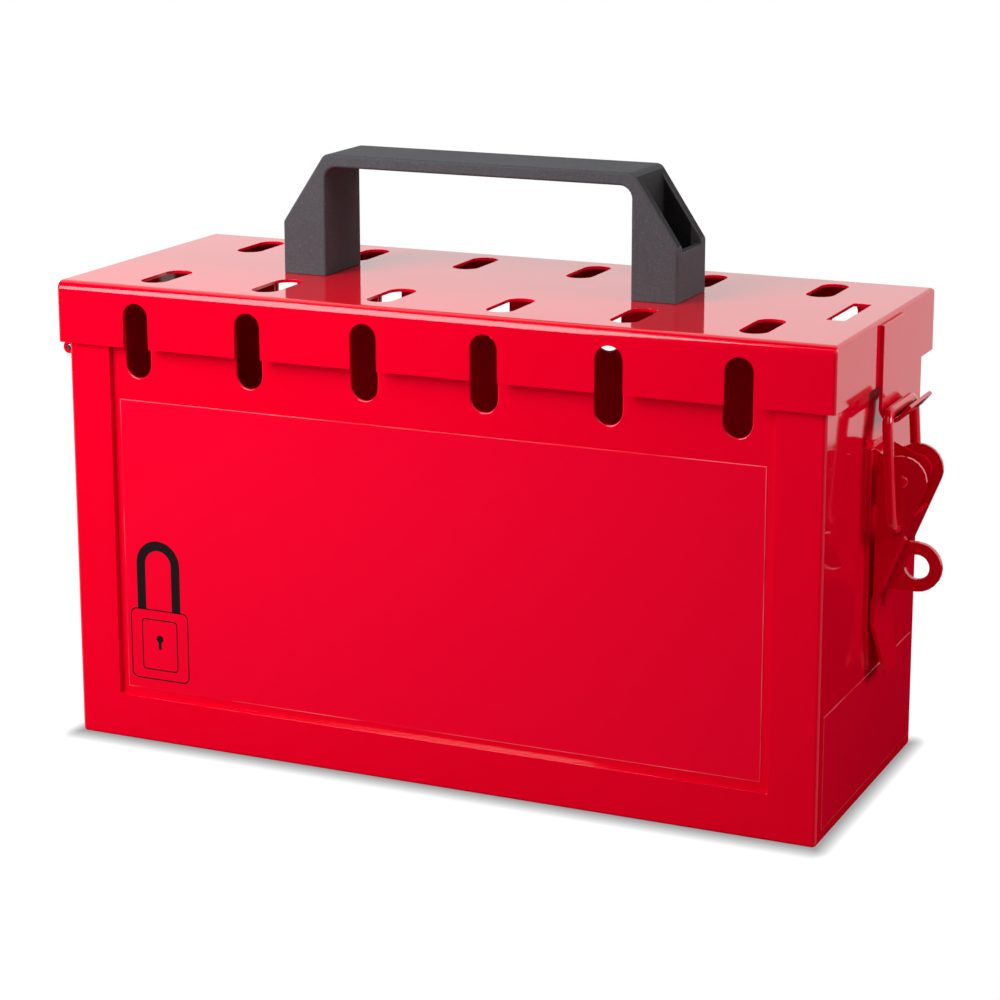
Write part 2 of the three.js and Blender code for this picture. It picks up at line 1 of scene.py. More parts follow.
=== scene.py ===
"""Portable group lockout box, dressed for its product picture.

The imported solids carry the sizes. This script folds the lid and the body with their real bend radii,
punches their slots, lofts the handle, rounds the edges of the latch and the hinge, bends the wire bail,
prints the sign, and gives every piece the finish of the real one. Sizes are in millimetres and become
metres through MM.
"""

import logging
import math
from collections.abc import Callable, Sequence
from dataclasses import dataclass, field
from enum import Enum
from typing import Any

import bmesh
import bpy
from mathutils import Matrix, Vector


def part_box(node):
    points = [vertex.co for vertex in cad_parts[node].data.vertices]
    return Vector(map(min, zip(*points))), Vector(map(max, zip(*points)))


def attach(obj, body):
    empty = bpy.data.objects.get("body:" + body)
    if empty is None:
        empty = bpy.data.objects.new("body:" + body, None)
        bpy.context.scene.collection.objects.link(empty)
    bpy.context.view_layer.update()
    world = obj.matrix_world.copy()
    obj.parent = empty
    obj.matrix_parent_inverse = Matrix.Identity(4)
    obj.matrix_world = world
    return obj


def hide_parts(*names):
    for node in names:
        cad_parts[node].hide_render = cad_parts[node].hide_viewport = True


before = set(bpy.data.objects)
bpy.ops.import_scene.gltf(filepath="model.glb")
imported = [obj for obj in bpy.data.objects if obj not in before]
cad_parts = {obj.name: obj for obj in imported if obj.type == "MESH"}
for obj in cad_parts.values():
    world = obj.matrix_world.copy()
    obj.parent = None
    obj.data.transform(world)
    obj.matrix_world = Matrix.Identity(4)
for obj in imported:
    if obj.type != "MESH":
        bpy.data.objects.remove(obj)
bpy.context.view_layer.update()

Tree = bpy.types.NodeTree
Node = bpy.types.Node
Socket = bpy.types.NodeSocket
Material = bpy.types.Material
Piece = bpy.types.Object

# An edge's radius in millimetres: one for all, or found from the edge's middle and direction
Radius = Callable[[Vector, Vector], float] | float

MM = 0.001
HALF_TURN = math.pi
UPRIGHT = (0.0, 0.0, 0.0)
CROSSWISE = (HALF_TURN / 2, 0.0, 0.0)
LOG = logging.getLogger("lockout_box")

# Edges that turn by more than this are corners; smaller turns are facets of a round stretch
CORNER_TURN = math.radians(40)
FLAT_TURN = math.radians(0.4)
WELD_WITHIN = 0.002 * MM
SAME_PLACE = 0.01
LEAST_BEND = 0.3
BEVEL_WEIGHT = "bevel_weight_edge"
FLAT_FACE_WEIGHT = 80
EDGE_FACETS = 2
BEND_FACETS = 8
WIRE_BEND_FACETS = 12
WIRE_SIDES = 24

# The least part of a direction that counts as along an axis, and the least that counts as leaning
ALONG = 0.5
LEANING = 0.1

# A punch through both walls reaches this many times the half depth
BOTH_WALLS = 4


class Body(Enum):
    """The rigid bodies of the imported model."""

    BOX = "box"
    LID = "lid"
    LEVER = "lever"
    BAIL = "bail"


class Slot(Enum):
    """The record's material slots."""

    RED = "red_paint"
    NYLON = "black_nylon"
    ZINC = "zinc_steel"
    FILM = "label_film"


class Opening(Enum):
    """Which side of a folded tray is open."""

    TOP = 1
    UNDERSIDE = -1


def srgb(code: str) -> tuple[float, float, float, float]:
    """Turns an sRGB hex value into a linear colour.

    Args:
        code: the colour as "#RRGGBB".

    Returns:
        Linear red, green and blue, with an alpha of 1.
    """
    parts = [int(code[i : i + 2], 16) / 255 for i in (1, 3, 5)]
    linear = [p / 12.92 if p <= 0.04045 else ((p + 0.055) / 1.055) ** 2.4 for p in parts]
    return (linear[0], linear[1], linear[2], 1.0)


def add_node(
    tree: Tree, kind: str, inputs: dict[str | int, Any] | None = None, **settings: Any
) -> Node:
    """Adds a node with its settings, its values and its links.

    Args:
        tree: the node tree that the node goes into.
        kind: the node's type, as Blender names it.
        inputs: for each input, by name or number, its value or the socket that it is linked from; a
            node stands for its first output.
        settings: the node's own properties.

    Returns:
        The new node.
    """
    node = tree.nodes.new(kind)
    for name, value in settings.items():
        setattr(node, name, value)
    for key, value in (inputs or {}).items():
        value = value.outputs[0] if isinstance(value, Node) else value
        if isinstance(value, Socket):
            tree.links.new(value, node.inputs[key])
        else:
            node.inputs[key].default_value = value
    return node


def new_material(name: str) -> tuple[Material, Tree, Socket]:
    """Starts a material.

    Args:
        name: the material's name.

    Returns:
        The material, its empty tree and the socket with Object coordinates.
    """
    material = bpy.data.materials.new(name)
    material.use_nodes = True
    tree = material.node_tree
    tree.nodes.clear()
    return material, tree, add_node(tree, "ShaderNodeTexCoord").outputs["Object"]


def end_material(material: Material, sockets: dict[str | int, Any]) -> Material:
    """Ends a material in its Principled shader.

    Args:
        material: the material.
        sockets: what goes into the shader, by socket name.

    Returns:
        The same material.
    """
    shader = add_node(material.node_tree, "ShaderNodeBsdfPrincipled", sockets)
    add_node(material.node_tree, "ShaderNodeOutputMaterial", {"Surface": shader})
    return material


def mottled(
    tree: Tree,
    place: Socket,
    patch_mm: float,
    colours: tuple[str, str],
    detail: float,
) -> Socket:
    """Lets one colour drift into another in soft patches.

    Args:
        tree: the material's tree.
        place: the coordinates.
        patch_mm: the patches' size.
        colours: both colours as sRGB hex values.
        detail: how ragged the patches are.

    Returns:
        The socket with the colour.
    """
    patches = add_node(
        tree, "ShaderNodeTexNoise", {"Vector": place, "Scale": 1 / (patch_mm * MM), "Detail": detail}
    )
    first, second = (srgb(colour) for colour in colours)
    mix = add_node(tree, "ShaderNodeMix", {0: patches, 6: first, 7: second}, data_type="RGBA")
    return mix.outputs[2]


def relief(
    tree: Tree,
    place: Socket,
    size_mm: float,
    height_mm: float,
    strength: float = 1.0,
    detail: float = 1.0,
) -> Node:
    """Raises a fine, soft relief.

    Args:
        tree: the material's tree.
        place: the coordinates.
        size_mm: the size of its bumps.
        height_mm: their height.
        strength: how much of the height shows.
        detail: how rough the bumps are.

    Returns:
        The node with the bent normal.
    """
    bumps = add_node(
        tree, "ShaderNodeTexNoise", {"Vector": place, "Scale": 1 / (size_mm * MM), "Detail": detail}
    )
    return add_node(
        tree, "ShaderNodeBump", {"Height": bumps, "Strength": strength, "Distance": height_mm * MM}
    )


@dataclass(frozen=True)
class PowderCoat:
    """Gloss polyester powder, sprayed on folded steel and stoved.

    The melt levels into a thick, even gloss with a faint orange peel, so the colour is deep and what
    stands beside the box mirrors in it.
    """

    colour: str = "#E80026"
    shade: str = "#E0001F"
    drift_mm: float = 90.0
    peel_mm: float = 2.6
    peel_height_mm: float = 0.0022
    roughness: float = 0.05
    roughness_spread: float = 0.03
    haze_mm: float = 14.0
    ior: float = 1.5

    def material(self) -> Material:
        """Builds the material."""
        material, tree, place = new_material("gloss red polyester powder coat on steel")
        haze = add_node(
            tree, "ShaderNodeTexNoise", {"Vector": place, "Scale": 1 / (self.haze_mm * MM), "Detail": 3.0}
        )
        dullest = self.roughness + self.roughness_spread
        gloss = add_node(tree, "ShaderNodeMapRange", {0: haze, 3: self.roughness, 4: dullest})
        sockets = {
            "Base Color": mottled(tree, place, self.drift_mm, (self.colour, self.shade), 2.0),
            "Roughness": gloss,
            "Normal": relief(tree, place, self.peel_mm, self.peel_height_mm),
            "IOR": self.ior,
        }
        return end_material(material, sockets)


@dataclass(frozen=True)
class GlassFilledNylon:
    """Charcoal glass-filled nylon, moulded in a spark-eroded tool.

    The eroded tool leaves a fine, even grain that greys the black and breaks up every highlight, and
    here and there a glass fibre shows as a pale speck.
    """

    colour: str = "#434246"
    pale: str = "#4C4B4F"
    speck: str = "#56555A"
    speck_mm: float = 0.5
    speck_share: tuple[float, float] = (0.5, 0.78)
    flow_mm: float = 22.0
    grain_mm: float = 0.55
    grain_height_mm: float = 0.035
    grain_strength: float = 0.55
    grain_roughness: float = 0.6
    roughness: float = 0.62
    roughness_spread: float = 0.16
    specular: float = 0.16
    skin: str = "spark-eroded grain"

    @classmethod
    def cored(cls) -> "GlassFilledNylon":
        """Gives a darker copy of the nylon, which paints shade into the deep pockets' insides."""
        # The darker colours here are painted shade for the pockets, not a different plastic.
        return cls(colour="#1B1A1C", pale="#201F21", speck="#262528", skin="smooth from the core")

    def material(self) -> Material:
        """Builds the material."""
        material, tree, place = new_material(f"charcoal glass-filled nylon, {self.skin}")
        fibres = {"Vector": place, "Scale": 1 / (self.speck_mm * MM), "Detail": 2.0}
        specks = add_node(tree, "ShaderNodeTexNoise", fibres)
        low, high = self.speck_share
        speckled = add_node(tree, "ShaderNodeMapRange", {0: specks, 1: low, 2: high})
        plain = mottled(tree, place, self.flow_mm, (self.colour, self.pale), 3.0)
        surface = add_node(
            tree, "ShaderNodeMix", {0: speckled, 6: plain, 7: srgb(self.speck)}, data_type="RGBA"
        )
        eroded = {"Scale": 1 / (self.grain_mm * MM), "Detail": 2.0, "Roughness": self.grain_roughness}
        grain = add_node(tree, "ShaderNodeTexNoise", {"Vector": place, **eroded})
        dullest = self.roughness + self.roughness_spread
        gloss = add_node(tree, "ShaderNodeMapRange", {0: grain, 3: self.roughness, 4: dullest})
        depth = self.grain_height_mm * MM
        bump = add_node(
            tree, "ShaderNodeBump", {"Height": grain, "Strength": self.grain_strength, "Distance": depth}
        )
        sockets = {
            "Base Color": surface.outputs[2],
            "Roughness": gloss,
            "Normal": bump,
            "Specular IOR Level": self.specular,
        }
        return end_material(material, sockets)


@dataclass(frozen=True)
class ZincPlate:
    """Bright zinc plate on turned or cold-headed steel.

    The plating keeps the tool's fine marks and shows a faint blue-grey cloudiness.
    """

    colour: str = "#B9BDC2"
    cloud: str = "#A3A8B0"
    cloud_mm: float = 3.0
    mark_mm: float = 0.35
    mark_height_mm: float = 0.004
    mark_strength: float = 0.4
    roughness: float = 0.26

    def material(self) -> Material:
        """Builds the material."""
        material, tree, place = new_material("bright zinc plate on steel")
        sockets = {
            "Base Color": mottled(tree, place, self.cloud_mm, (self.colour, self.cloud), 3.0),
            "Metallic": 1.0,
            "Roughness": self.roughness,
            "Normal": relief(tree, place, self.mark_mm, self.mark_height_mm, self.mark_strength, 2.0),
        }
        return end_material(material, sockets)


@dataclass(frozen=True)
class GlossFilm:
    """Gloss vinyl film of the paint's own red, cut square and rubbed down on the panel.

    A painted highlight runs round its cut edge as a broken pale line, in the patches where the edge
    would catch the light, and the film lies slightly wavy.
    """

    colour: str = "#E60329"
    # The edge colour is a painted highlight along the film's border.
    edge: str = "#FF8A94"
    edge_mm: float = 0.24
    lift_mm: float = 30.0
    lift_from: tuple[float, float] = (0.4, 0.64)
    lift_tone: tuple[float, float] = (0.03, 0.5)
    wave_mm: float = 18.0
    wave_height_mm: float = 0.012
    roughness: float = 0.06
    ior: float = 1.5

    def material(self, node: str, across: int) -> Material:
        """Builds the material for one label.

        Args:
            node: the label's node, whose box gives the film's edges.
            across: the axis that runs level along the label, 0 for X or 1 for Y.

        Returns:
            The material.
        """
        material, tree, place = new_material(f"gloss red vinyl film, {node.replace('_', ' ')}")
        low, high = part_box(node)
        axes = add_node(tree, "ShaderNodeSeparateXYZ", {0: place})
        # The band next to the film's border takes the painted highlight.
        near_edge: list[Node] = []
        for axis in (across, 2):
            middle = (low[axis] + high[axis]) / 2
            reach = (high[axis] - low[axis]) / 2 - self.edge_mm * MM
            level = axes.outputs[axis]
            offset = add_node(tree, "ShaderNodeMath", {0: level, 1: middle}, operation="SUBTRACT")
            size = add_node(tree, "ShaderNodeMath", {0: offset}, operation="ABSOLUTE")
            over = add_node(tree, "ShaderNodeMath", {0: size, 1: reach}, operation="GREATER_THAN")
            near_edge.append(over)
        rim = add_node(tree, "ShaderNodeMath", dict(enumerate(near_edge)), operation="MAXIMUM")
        # Noise breaks the painted highlight into patches.
        lift = add_node(
            tree, "ShaderNodeTexNoise", {"Vector": place, "Scale": 1 / (self.lift_mm * MM), "Detail": 4.0}
        )
        limits = dict(enumerate((lift, *self.lift_from, *self.lift_tone)))
        lifted = add_node(tree, "ShaderNodeMapRange", limits)
        pale = add_node(tree, "ShaderNodeMath", {0: rim, 1: lifted}, operation="MULTIPLY")
        tint = add_node(
            tree, "ShaderNodeMix", {0: pale, 6: srgb(self.colour), 7: srgb(self.edge)}, data_type="RGBA"
        )
        sockets = {
            "Base Color": tint.outputs[2],
            "Roughness": self.roughness,
            "Normal": relief(tree, place, self.wave_mm, self.wave_height_mm),
            "IOR": self.ior,
        }
        return end_material(material, sockets)


@dataclass(frozen=True)
class ScreenInk:
    """Black screen-printing ink under the film's gloss, with the faint mottle of a printed solid."""

    colour: str = "#171113"
    mottle: str = "#241B1E"
    mottle_mm: float = 1.2
    roughness: float = 0.14

    def material(self) -> Material:
        """Builds the material."""
        material, tree, place = new_material("black screen-printing ink")
        tint = mottled(tree, place, self.mottle_mm, (self.colour, self.mottle), 2.0)
        return end_material(material, {"Base Color": tint, "Roughness": self.roughness})


def add_object(name: str, data: bpy.types.ID) -> Piece:
    """Adds an object to the scene, at the origin.

    Args:
        name: the object's name.
        data: its mesh, lamp or camera.

    Returns:
        The new object.
    """
    piece = bpy.data.objects.new(name, data)
    bpy.context.scene.collection.objects.link(piece)
    return piece


def piece_from(name: str, shape: bmesh.types.BMesh) -> Piece:
    """Makes an object from a bmesh, at the origin.

    Args:
        name: the piece's name.
        shape: the mesh, in metres, which is freed.

    Returns:
        The new object.
    """
    mesh = bpy.data.meshes.new(name)
    shape.to_mesh(mesh)
    shape.free()
    return add_object(name, mesh)


def settle(piece: Piece) -> Piece:
    """Turns a piece with its modifiers into a plain mesh.

    Args:
        piece: the object.

    Returns:
        The same object, with no modifiers.
    """
    bpy.context.view_layer.update()
    graph = bpy.context.evaluated_depsgraph_get()
    mesh = bpy.data.meshes.new_from_object(piece.evaluated_get(graph), depsgraph=graph)
    piece.modifiers.clear()
    mesh.name = piece.name
    piece.data = mesh
    return piece


def run_nodes(piece: Piece, tree: Tree, values: dict[str, Any]) -> Piece:
    """Runs a geometry tree on a piece and keeps the result as a plain mesh.

    Args:
        piece: the object that the tree works on.
        tree: the geometry node tree.
        values: the tree's inputs by name.

    Returns:
        The same object.
    """
    modifier = piece.modifiers.new(tree.name, "NODES")
    modifier.node_group = tree
    for item in tree.interface.items_tree:
        if item.item_type == "SOCKET" and item.in_out == "INPUT" and item.name in values:
            modifier[item.identifier] = values[item.name]
    return settle(piece)


def new_tree(name: str, **sockets: str) -> tuple[Tree, Any]:
    """Starts a geometry tree with its named inputs.

    Args:
        name: the tree's name.
        sockets: each input's name, and its socket type without the word NodeSocket.

    Returns:
        The tree and the sockets that its inputs come from, by name.
    """
    tree = bpy.data.node_groups.new(name, "GeometryNodeTree")
    tree.interface.new_socket("Geometry", in_out="OUTPUT", socket_type="NodeSocketGeometry")
    for label, kind in sockets.items():
        tree.interface.new_socket(label, in_out="INPUT", socket_type=f"NodeSocket{kind}")
    return tree, add_node(tree, "NodeGroupInput").outputs


def end_tree(tree: Tree, geometry: Node, finish: Socket) -> None:
    """Ends a geometry tree in real geometry with its material.

    Args:
        tree: the tree.
        geometry: the node that gives the finished shape.
        finish: the socket with the material.
    """
    real = add_node(tree, "GeometryNodeRealizeInstances", {0: geometry})
    dressed = add_node(tree, "GeometryNodeSetMaterial", {"Geometry": real, "Material": finish})
    add_node(tree, "NodeGroupOutput", {0: dressed})


def punch_tree() -> Tree:
    """Makes the tree that punches a row of round-cornered holes through a sheet.

    Returns:
        The tree. Its punch is Width by Length, and moves by Stroke along the local Z that Turn sets.
    """
    tree, given = new_tree(
        "slot punch",
        Sheet="Geometry",
        Width="Float",
        Length="Float",
        Corner="Float",
        Stroke="Float",
        Count="Int",
        First="Vector",
        Step="Vector",
        Turn="Vector",
        Finish="Material",
    )
    size = {"Width": given["Width"], "Height": given["Length"]}
    box = add_node(tree, "GeometryNodeCurvePrimitiveQuadrilateral", size)
    rounded = add_node(
        tree,
        "GeometryNodeFilletCurve",
        {"Curve": box, "Count": BEND_FACETS, "Radius": given["Corner"], "Limit Radius": True},
        mode="POLY",
    )
    face = add_node(tree, "GeometryNodeFillCurve", {0: rounded}, mode="NGONS")
    back = add_node(tree, "GeometryNodeFlipFaces", {0: face})
    prism = add_node(
        tree, "GeometryNodeExtrudeMesh", {"Mesh": face, "Offset Scale": given["Stroke"]}, mode="FACES"
    )
    closed = add_node(tree, "GeometryNodeJoinGeometry")
    for shell in (prism, back):
        tree.links.new(shell.outputs[0], closed.inputs[0])
    welded = add_node(tree, "GeometryNodeMergeByDistance", {0: closed, "Distance": WELD_WITHIN})
    half = add_node(tree, "ShaderNodeMath", {0: given["Stroke"], 1: -0.5}, operation="MULTIPLY")
    drop = add_node(tree, "ShaderNodeCombineXYZ", {"Z": half})
    centred = add_node(tree, "GeometryNodeTransform", {"Geometry": welded, "Translation": drop})
    line = {"Count": given["Count"], "Start Location": given["First"], "Offset": given["Step"]}
    row = add_node(tree, "GeometryNodeMeshLine", line)
    turn = add_node(tree, "FunctionNodeEulerToRotation", {0: given["Turn"]})
    punches = add_node(
        tree, "GeometryNodeInstanceOnPoints", {"Points": row, "Instance": centred, "Rotation": turn}
    )
    solid = add_node(tree, "GeometryNodeRealizeInstances", {0: punches})
    holed = add_node(
        tree,
        "GeometryNodeMeshBoolean",
        {"Mesh 1": given["Sheet"], "Mesh 2": solid},
        operation="DIFFERENCE",
        solver="MANIFOLD",
    )
    end_tree(tree, holed, given["Finish"])
    return tree


def repeat_tree() -> Tree:
    """Makes the tree that sets copies of a piece along a straight row."""
    sockets = {"Piece": "Geometry", "Count": "Int", "Step": "Vector", "Finish": "Material"}
    tree, given = new_tree("row of copies", **sockets)
    row = add_node(tree, "GeometryNodeMeshLine", {"Count": given["Count"], "Offset": given["Step"]})
    copies = add_node(tree, "GeometryNodeInstanceOnPoints", {"Points": row, "Instance": given["Piece"]})
    end_tree(tree, copies, given["Finish"])
    return tree


def wire_tree() -> Tree:
    """Makes the tree that bends a wire along a line of corners; each corner keeps its own bend radius."""
    tree, given = new_tree(
        "bent wire", Corners="Geometry", Radius="Float", Sides="Int", Finish="Material"
    )
    line = add_node(tree, "GeometryNodeMeshToCurve", {"Mesh": given["Corners"]})
    bend = add_node(tree, "GeometryNodeInputNamedAttribute", {"Name": "bend"}, data_type="FLOAT")
    bent = add_node(
        tree,
        "GeometryNodeFilletCurve",
        {"Curve": line, "Count": WIRE_BEND_FACETS, "Radius": bend, "Limit Radius": True},
        mode="POLY",
    )
    section = add_node(
        tree,
        "GeometryNodeCurvePrimitiveCircle",
        {"Resolution": given["Sides"], "Radius": given["Radius"]},
    )
    wire = add_node(
        tree, "GeometryNodeCurveToMesh", {"Curve": bent, "Profile Curve": section, "Fill Caps": True}
    )
    end_tree(tree, wire, given["Finish"])
    return tree


@dataclass
class Workshop:
    """The finishes and the geometry trees that the sub-assemblies share."""

    paint: Material = field(default_factory=lambda: PowderCoat().material())
    nylon: Material = field(default_factory=lambda: GlassFilledNylon().material())
    # Darker nylon that paints shade into the handle's pockets.
    core: Material = field(default_factory=lambda: GlassFilledNylon.cored().material())
    zinc: Material = field(default_factory=lambda: ZincPlate().material())
    ink: Material = field(default_factory=lambda: ScreenInk().material())
    punch: Tree = field(default_factory=punch_tree)
    repeat: Tree = field(default_factory=repeat_tree)
    wire: Tree = field(default_factory=wire_tree)

    def punch_row(
        self,
        sheet: Piece,
        size: tuple[float, float],
        corner: float,
        first: Vector,
        stroke: float,
        turn: tuple[float, float, float] = UPRIGHT,
        count: int = 1,
        pitch: float = 0.0,
    ) -> None:
        """Punches a row of holes through a sheet.

        Args:
            sheet: the piece that is cut.
            size: the hole's width and length.
            corner: the radius of the hole's corners.
            first: the middle of the first hole.
            stroke: how far the punch reaches, half on each side of the first hole's middle.
            turn: how the punch is turned from its own X by Y.
            count: how many holes.
            pitch: how far apart they are along X.
        """
        values = {
            "Width": size[0] * MM,
            "Length": size[1] * MM,
            "Corner": corner * MM,
            "Stroke": stroke * MM,
            "Count": count,
            "First": first * MM,
            "Step": (pitch * MM, 0.0, 0.0),
            "Turn": turn,
            "Finish": self.paint,
        }
        run_nodes(sheet, self.punch, values)


def weighted_bevel(piece: Piece, widest: float, segments: int, clamp: bool) -> None:
    """Rounds the edges that carry a bevel weight and settles the piece with flat faces kept flat.

    Args:
        piece: the object, whose edges hold their share of the widest radius.
        widest: the radius of an edge of weight 1, in metres.
        segments: how many facets a rounded edge gets.
        clamp: whether all radii shrink where one has too little room.
    """
    bevel = piece.modifiers.new("rounded edges", "BEVEL")
    bevel.limit_method = "WEIGHT"
    bevel.width = widest
    bevel.segments = segments
    bevel.miter_outer = "MITER_ARC"
    bevel.use_clamp_overlap = clamp
    normals = piece.modifiers.new("flat faces", "WEIGHTED_NORMAL")
    normals.keep_sharp = True
    normals.weight = FLAT_FACE_WEIGHT
    settle(piece)


def round_edges(
    piece: Piece,
    radius_of: Radius,
    segments: int = EDGE_FACETS,
    clamp: bool = True,
    merge: bool = True,
) -> Piece:
    """Rounds a piece's corners, each edge by its own radius.

    Args:
        piece: the object.
        radius_of: one radius in millimetres, or what gives an edge's radius from its middle, in
            millimetres, and its direction; zero leaves the edge sharp.
        segments: how many facets a rounded edge gets.
        clamp: whether all radii shrink where one has too little room.
        merge: whether the faces of one flat are joined first, as after a cut.

    Returns:
        The same object, settled.
    """
    shape = bmesh.new()
    shape.from_mesh(piece.data)
    bmesh.ops.remove_doubles(shape, verts=shape.verts, dist=WELD_WITHIN)
    bmesh.ops.dissolve_degenerate(shape, dist=WELD_WITHIN, edges=shape.edges)
    if merge:
        bmesh.ops.dissolve_limit(shape, angle_limit=FLAT_TURN, verts=shape.verts, edges=shape.edges)
    stale = shape.edges.layers.float.get(BEVEL_WEIGHT)
    if stale is not None:
        shape.edges.layers.float.remove(stale)
    layer = shape.edges.layers.float.new(BEVEL_WEIGHT)
    radii: dict[bmesh.types.BMEdge, float] = {}
    for face in shape.faces:
        face.smooth = True
    for edge in shape.edges:
        edge.smooth = True
        if len(edge.link_faces) != 2 or edge.calc_face_angle(0.0) < CORNER_TURN:
            continue
        start, end = (vert.co for vert in edge.verts)
        middle, direction = (start + end) / (2 * MM), (end - start).normalized()
        radius = radius_of(middle, direction) if callable(radius_of) else radius_of
        if radius > 0:
            radii[edge] = radius
        else:
            edge.smooth = False
    widest = max(radii.values(), default=0.0)
    for edge, radius in radii.items():
        edge[layer] = radius / widest
    shape.to_mesh(piece.data)
    shape.free()
    if widest > 0:
        weighted_bevel(piece, widest * MM, segments, clamp)
    return piece


def worked_copy(node: str) -> Piece:
    """Copies a CAD node's mesh into a new piece.

    Args:
        node: the node's name.

    Returns:
        The piece, with the solid's own faces.
    """
    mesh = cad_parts[node].data.copy()
    mesh.materials.clear()
    return add_object(f"{node}_piece", mesh)


def hand_over(
    piece: Piece, body: Body, finish: Material, nodes: Sequence[str] = ()
) -> None:
    """Dresses a finished piece, sets it on its body and hides the CAD nodes that it stands for.

    Args:
        piece: the finished object.
        body: the body it moves with.
        finish: its material.
        nodes: the CAD nodes that it replaces.
    """
    piece.data.materials.clear()
    piece.data.materials.append(finish)
    for polygon in piece.data.polygons:
        polygon.material_index = 0
    if nodes:
        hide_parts(*nodes)
    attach(piece, body.value)
    LOG.info("%s: %d faces on %s", piece.name, len(piece.data.polygons), body.value)


def dress(
    node: str,
    body: Body,
    finish: Material,
    radius: Radius,
    segments: int = EDGE_FACETS,
) -> None:
    """Rounds a copy of a CAD node's solid and hands it over in its finish.

    Args:
        node: the node's name.
        body: the body it moves with.
        finish: its material.
        radius: its edges' radius, as in round_edges.
        segments: how many facets a rounded edge gets.
    """
    hand_over(round_edges(worked_copy(node), radius, segments), body, finish, [node])


def block(name: str, low: Vector, high: Vector) -> Piece:
    """Makes a plain block, to be cut and rounded.

    Args:
        name: the piece's name.
        low: the lowest corner in metres.
        high: the highest corner in metres.

    Returns:
        The new object.
    """
    shape = bmesh.new()
    size = high - low
    place = Matrix.Translation((low + high) / 2) @ Matrix.Diagonal((size.x, size.y, size.z, 1.0))
    bmesh.ops.create_cube(shape, size=1.0, matrix=place)
    return piece_from(name, shape)


def folded_tray(
    name: str, low: Vector, high: Vector, opening: Opening, sheet: float, fold: float, corner: float
) -> Piece:
    """Folds a sheet into a tray with rounded bends.

    Args:
        name: the piece's name.
        low: the tray's lowest corner in metres.
        high: the tray's highest corner in metres.
        opening: which side is open.
        sheet: the sheet's thickness.
        fold: the outer radius of the two bends along the closed side's length.
        corner: the outer radius of the end bends and the upright corners.

    Returns:
        The tray as a closed shell.
    """
    piece = block(name, low, high)
    shape = bmesh.new()
    shape.from_mesh(piece.data)
    open_faces = [f for f in shape.faces if f.normal.z * opening.value > ALONG]
    bmesh.ops.delete(shape, geom=open_faces, context="FACES_ONLY")
    shape.to_mesh(piece.data)
    shape.free()
    wall = piece.modifiers.new("sheet", "SOLIDIFY")
    wall.thickness = sheet * MM
    wall.offset = -1.0
    wall.use_even_offset = True
    settle(piece)
    rim_z, closed_z = (high.z, low.z) if opening is Opening.TOP else (low.z, high.z)

    def bend(middle: Vector, direction: Vector) -> float:
        """Gives a bend's outer or inner radius, and none along the open rim."""
        if abs(middle.z - rim_z / MM) < SAME_PLACE:
            return 0.0
        faces = ((middle.x, high.x), (middle.x, low.x), (middle.y, high.y), (middle.y, low.y))
        outer = min(abs(at - face / MM) for at, face in (*faces, (middle.z, closed_z))) < SAME_PLACE
        radius = fold if abs(direction.x) > ALONG else corner
        return radius if outer else max(radius - sheet, LEAST_BEND)

    return round_edges(piece, bend, BEND_FACETS, merge=False)


def filleted(corners: Sequence[tuple[float, float, float]], facets: int = 10) -> list[Vector]:
    """Rounds the corners of a closed outline.

    Args:
        corners: each corner's two coordinates and its radius, in order.
        facets: how many facets a rounded corner gets.

    Returns:
        The outline's points.
    """
    points: list[Vector] = []
    for i, (x, y, radius) in enumerate(corners):
        here = Vector((x, y))
        if radius == 0:
            points.append(here)
            continue
        before = (Vector(corners[i - 1][:2]) - here).normalized()
        after = (Vector(corners[(i + 1) % len(corners)][:2]) - here).normalized()
        half = before.angle(after) / 2
        centre = here + (before + after).normalized() * radius / math.sin(half)
        start = here + before * radius / math.tan(half) - centre
        end = here + after * radius / math.tan(half) - centre
        points += [centre + start.slerp(end, k / facets).normalized() * radius for k in range(facets + 1)]
    return points


def inset(points: Sequence[Vector], depth: float, ground: float) -> list[Vector]:
    """Moves a counter-clockwise outline inwards; what stands on the ground stays on it.

    Args:
        points: the outline's points.
        depth: how far the edges move.
        ground: the height of the foot edges, which don't move.

    Returns:
        The moved points.
    """
    count = len(points)
    moved: list[Vector] = []
    for i, here in enumerate(points):
        before, after = points[i - 1], points[(i + 1) % count]
        rows = []
        for start, end in ((before, here), (here, after)):
            run = (end - start).normalized()
            on_ground = max(abs(start.y - ground), abs(end.y - ground)) < SAME_PLACE
            rows.append((-run.y, run.x, 0.0 if on_ground else depth))
        (ax, ay, a), (bx, by, b) = rows
        turn = ax * by - ay * bx
        moved.append(here + Vector(((a * by - b * ay) / turn, (b * ax - a * bx) / turn)))
    return moved


def lofted(name: str, rings: Sequence[Sequence[Vector]], ends_meet: bool = False) -> Piece:
    """Joins closed rings of points into one closed piece.

    Args:
        name: the piece's name.
        rings: rings of as many points each, in millimetres, from one end to the other.
        ends_meet: whether the last ring joins the first, where the ends would otherwise be capped.

    Returns:
        The new object.
    """
    shape = bmesh.new()
    rows = [[shape.verts.new(p * MM) for p in ring] for ring in rings]
    following = rows[1:] + rows[:1] if ends_meet else rows[1:]
    for row, other in zip(rows, following):
        for i in range(len(row)):
            shape.faces.new((row[i - 1], row[i], other[i], other[i - 1]))
    if not ends_meet:
        shape.faces.new(rows[0])
        shape.faces.new(rows[-1])
    bmesh.ops.remove_doubles(shape, verts=shape.verts, dist=WELD_WITHIN)
    bmesh.ops.recalc_face_normals(shape, faces=shape.faces)
    return piece_from(name, shape)


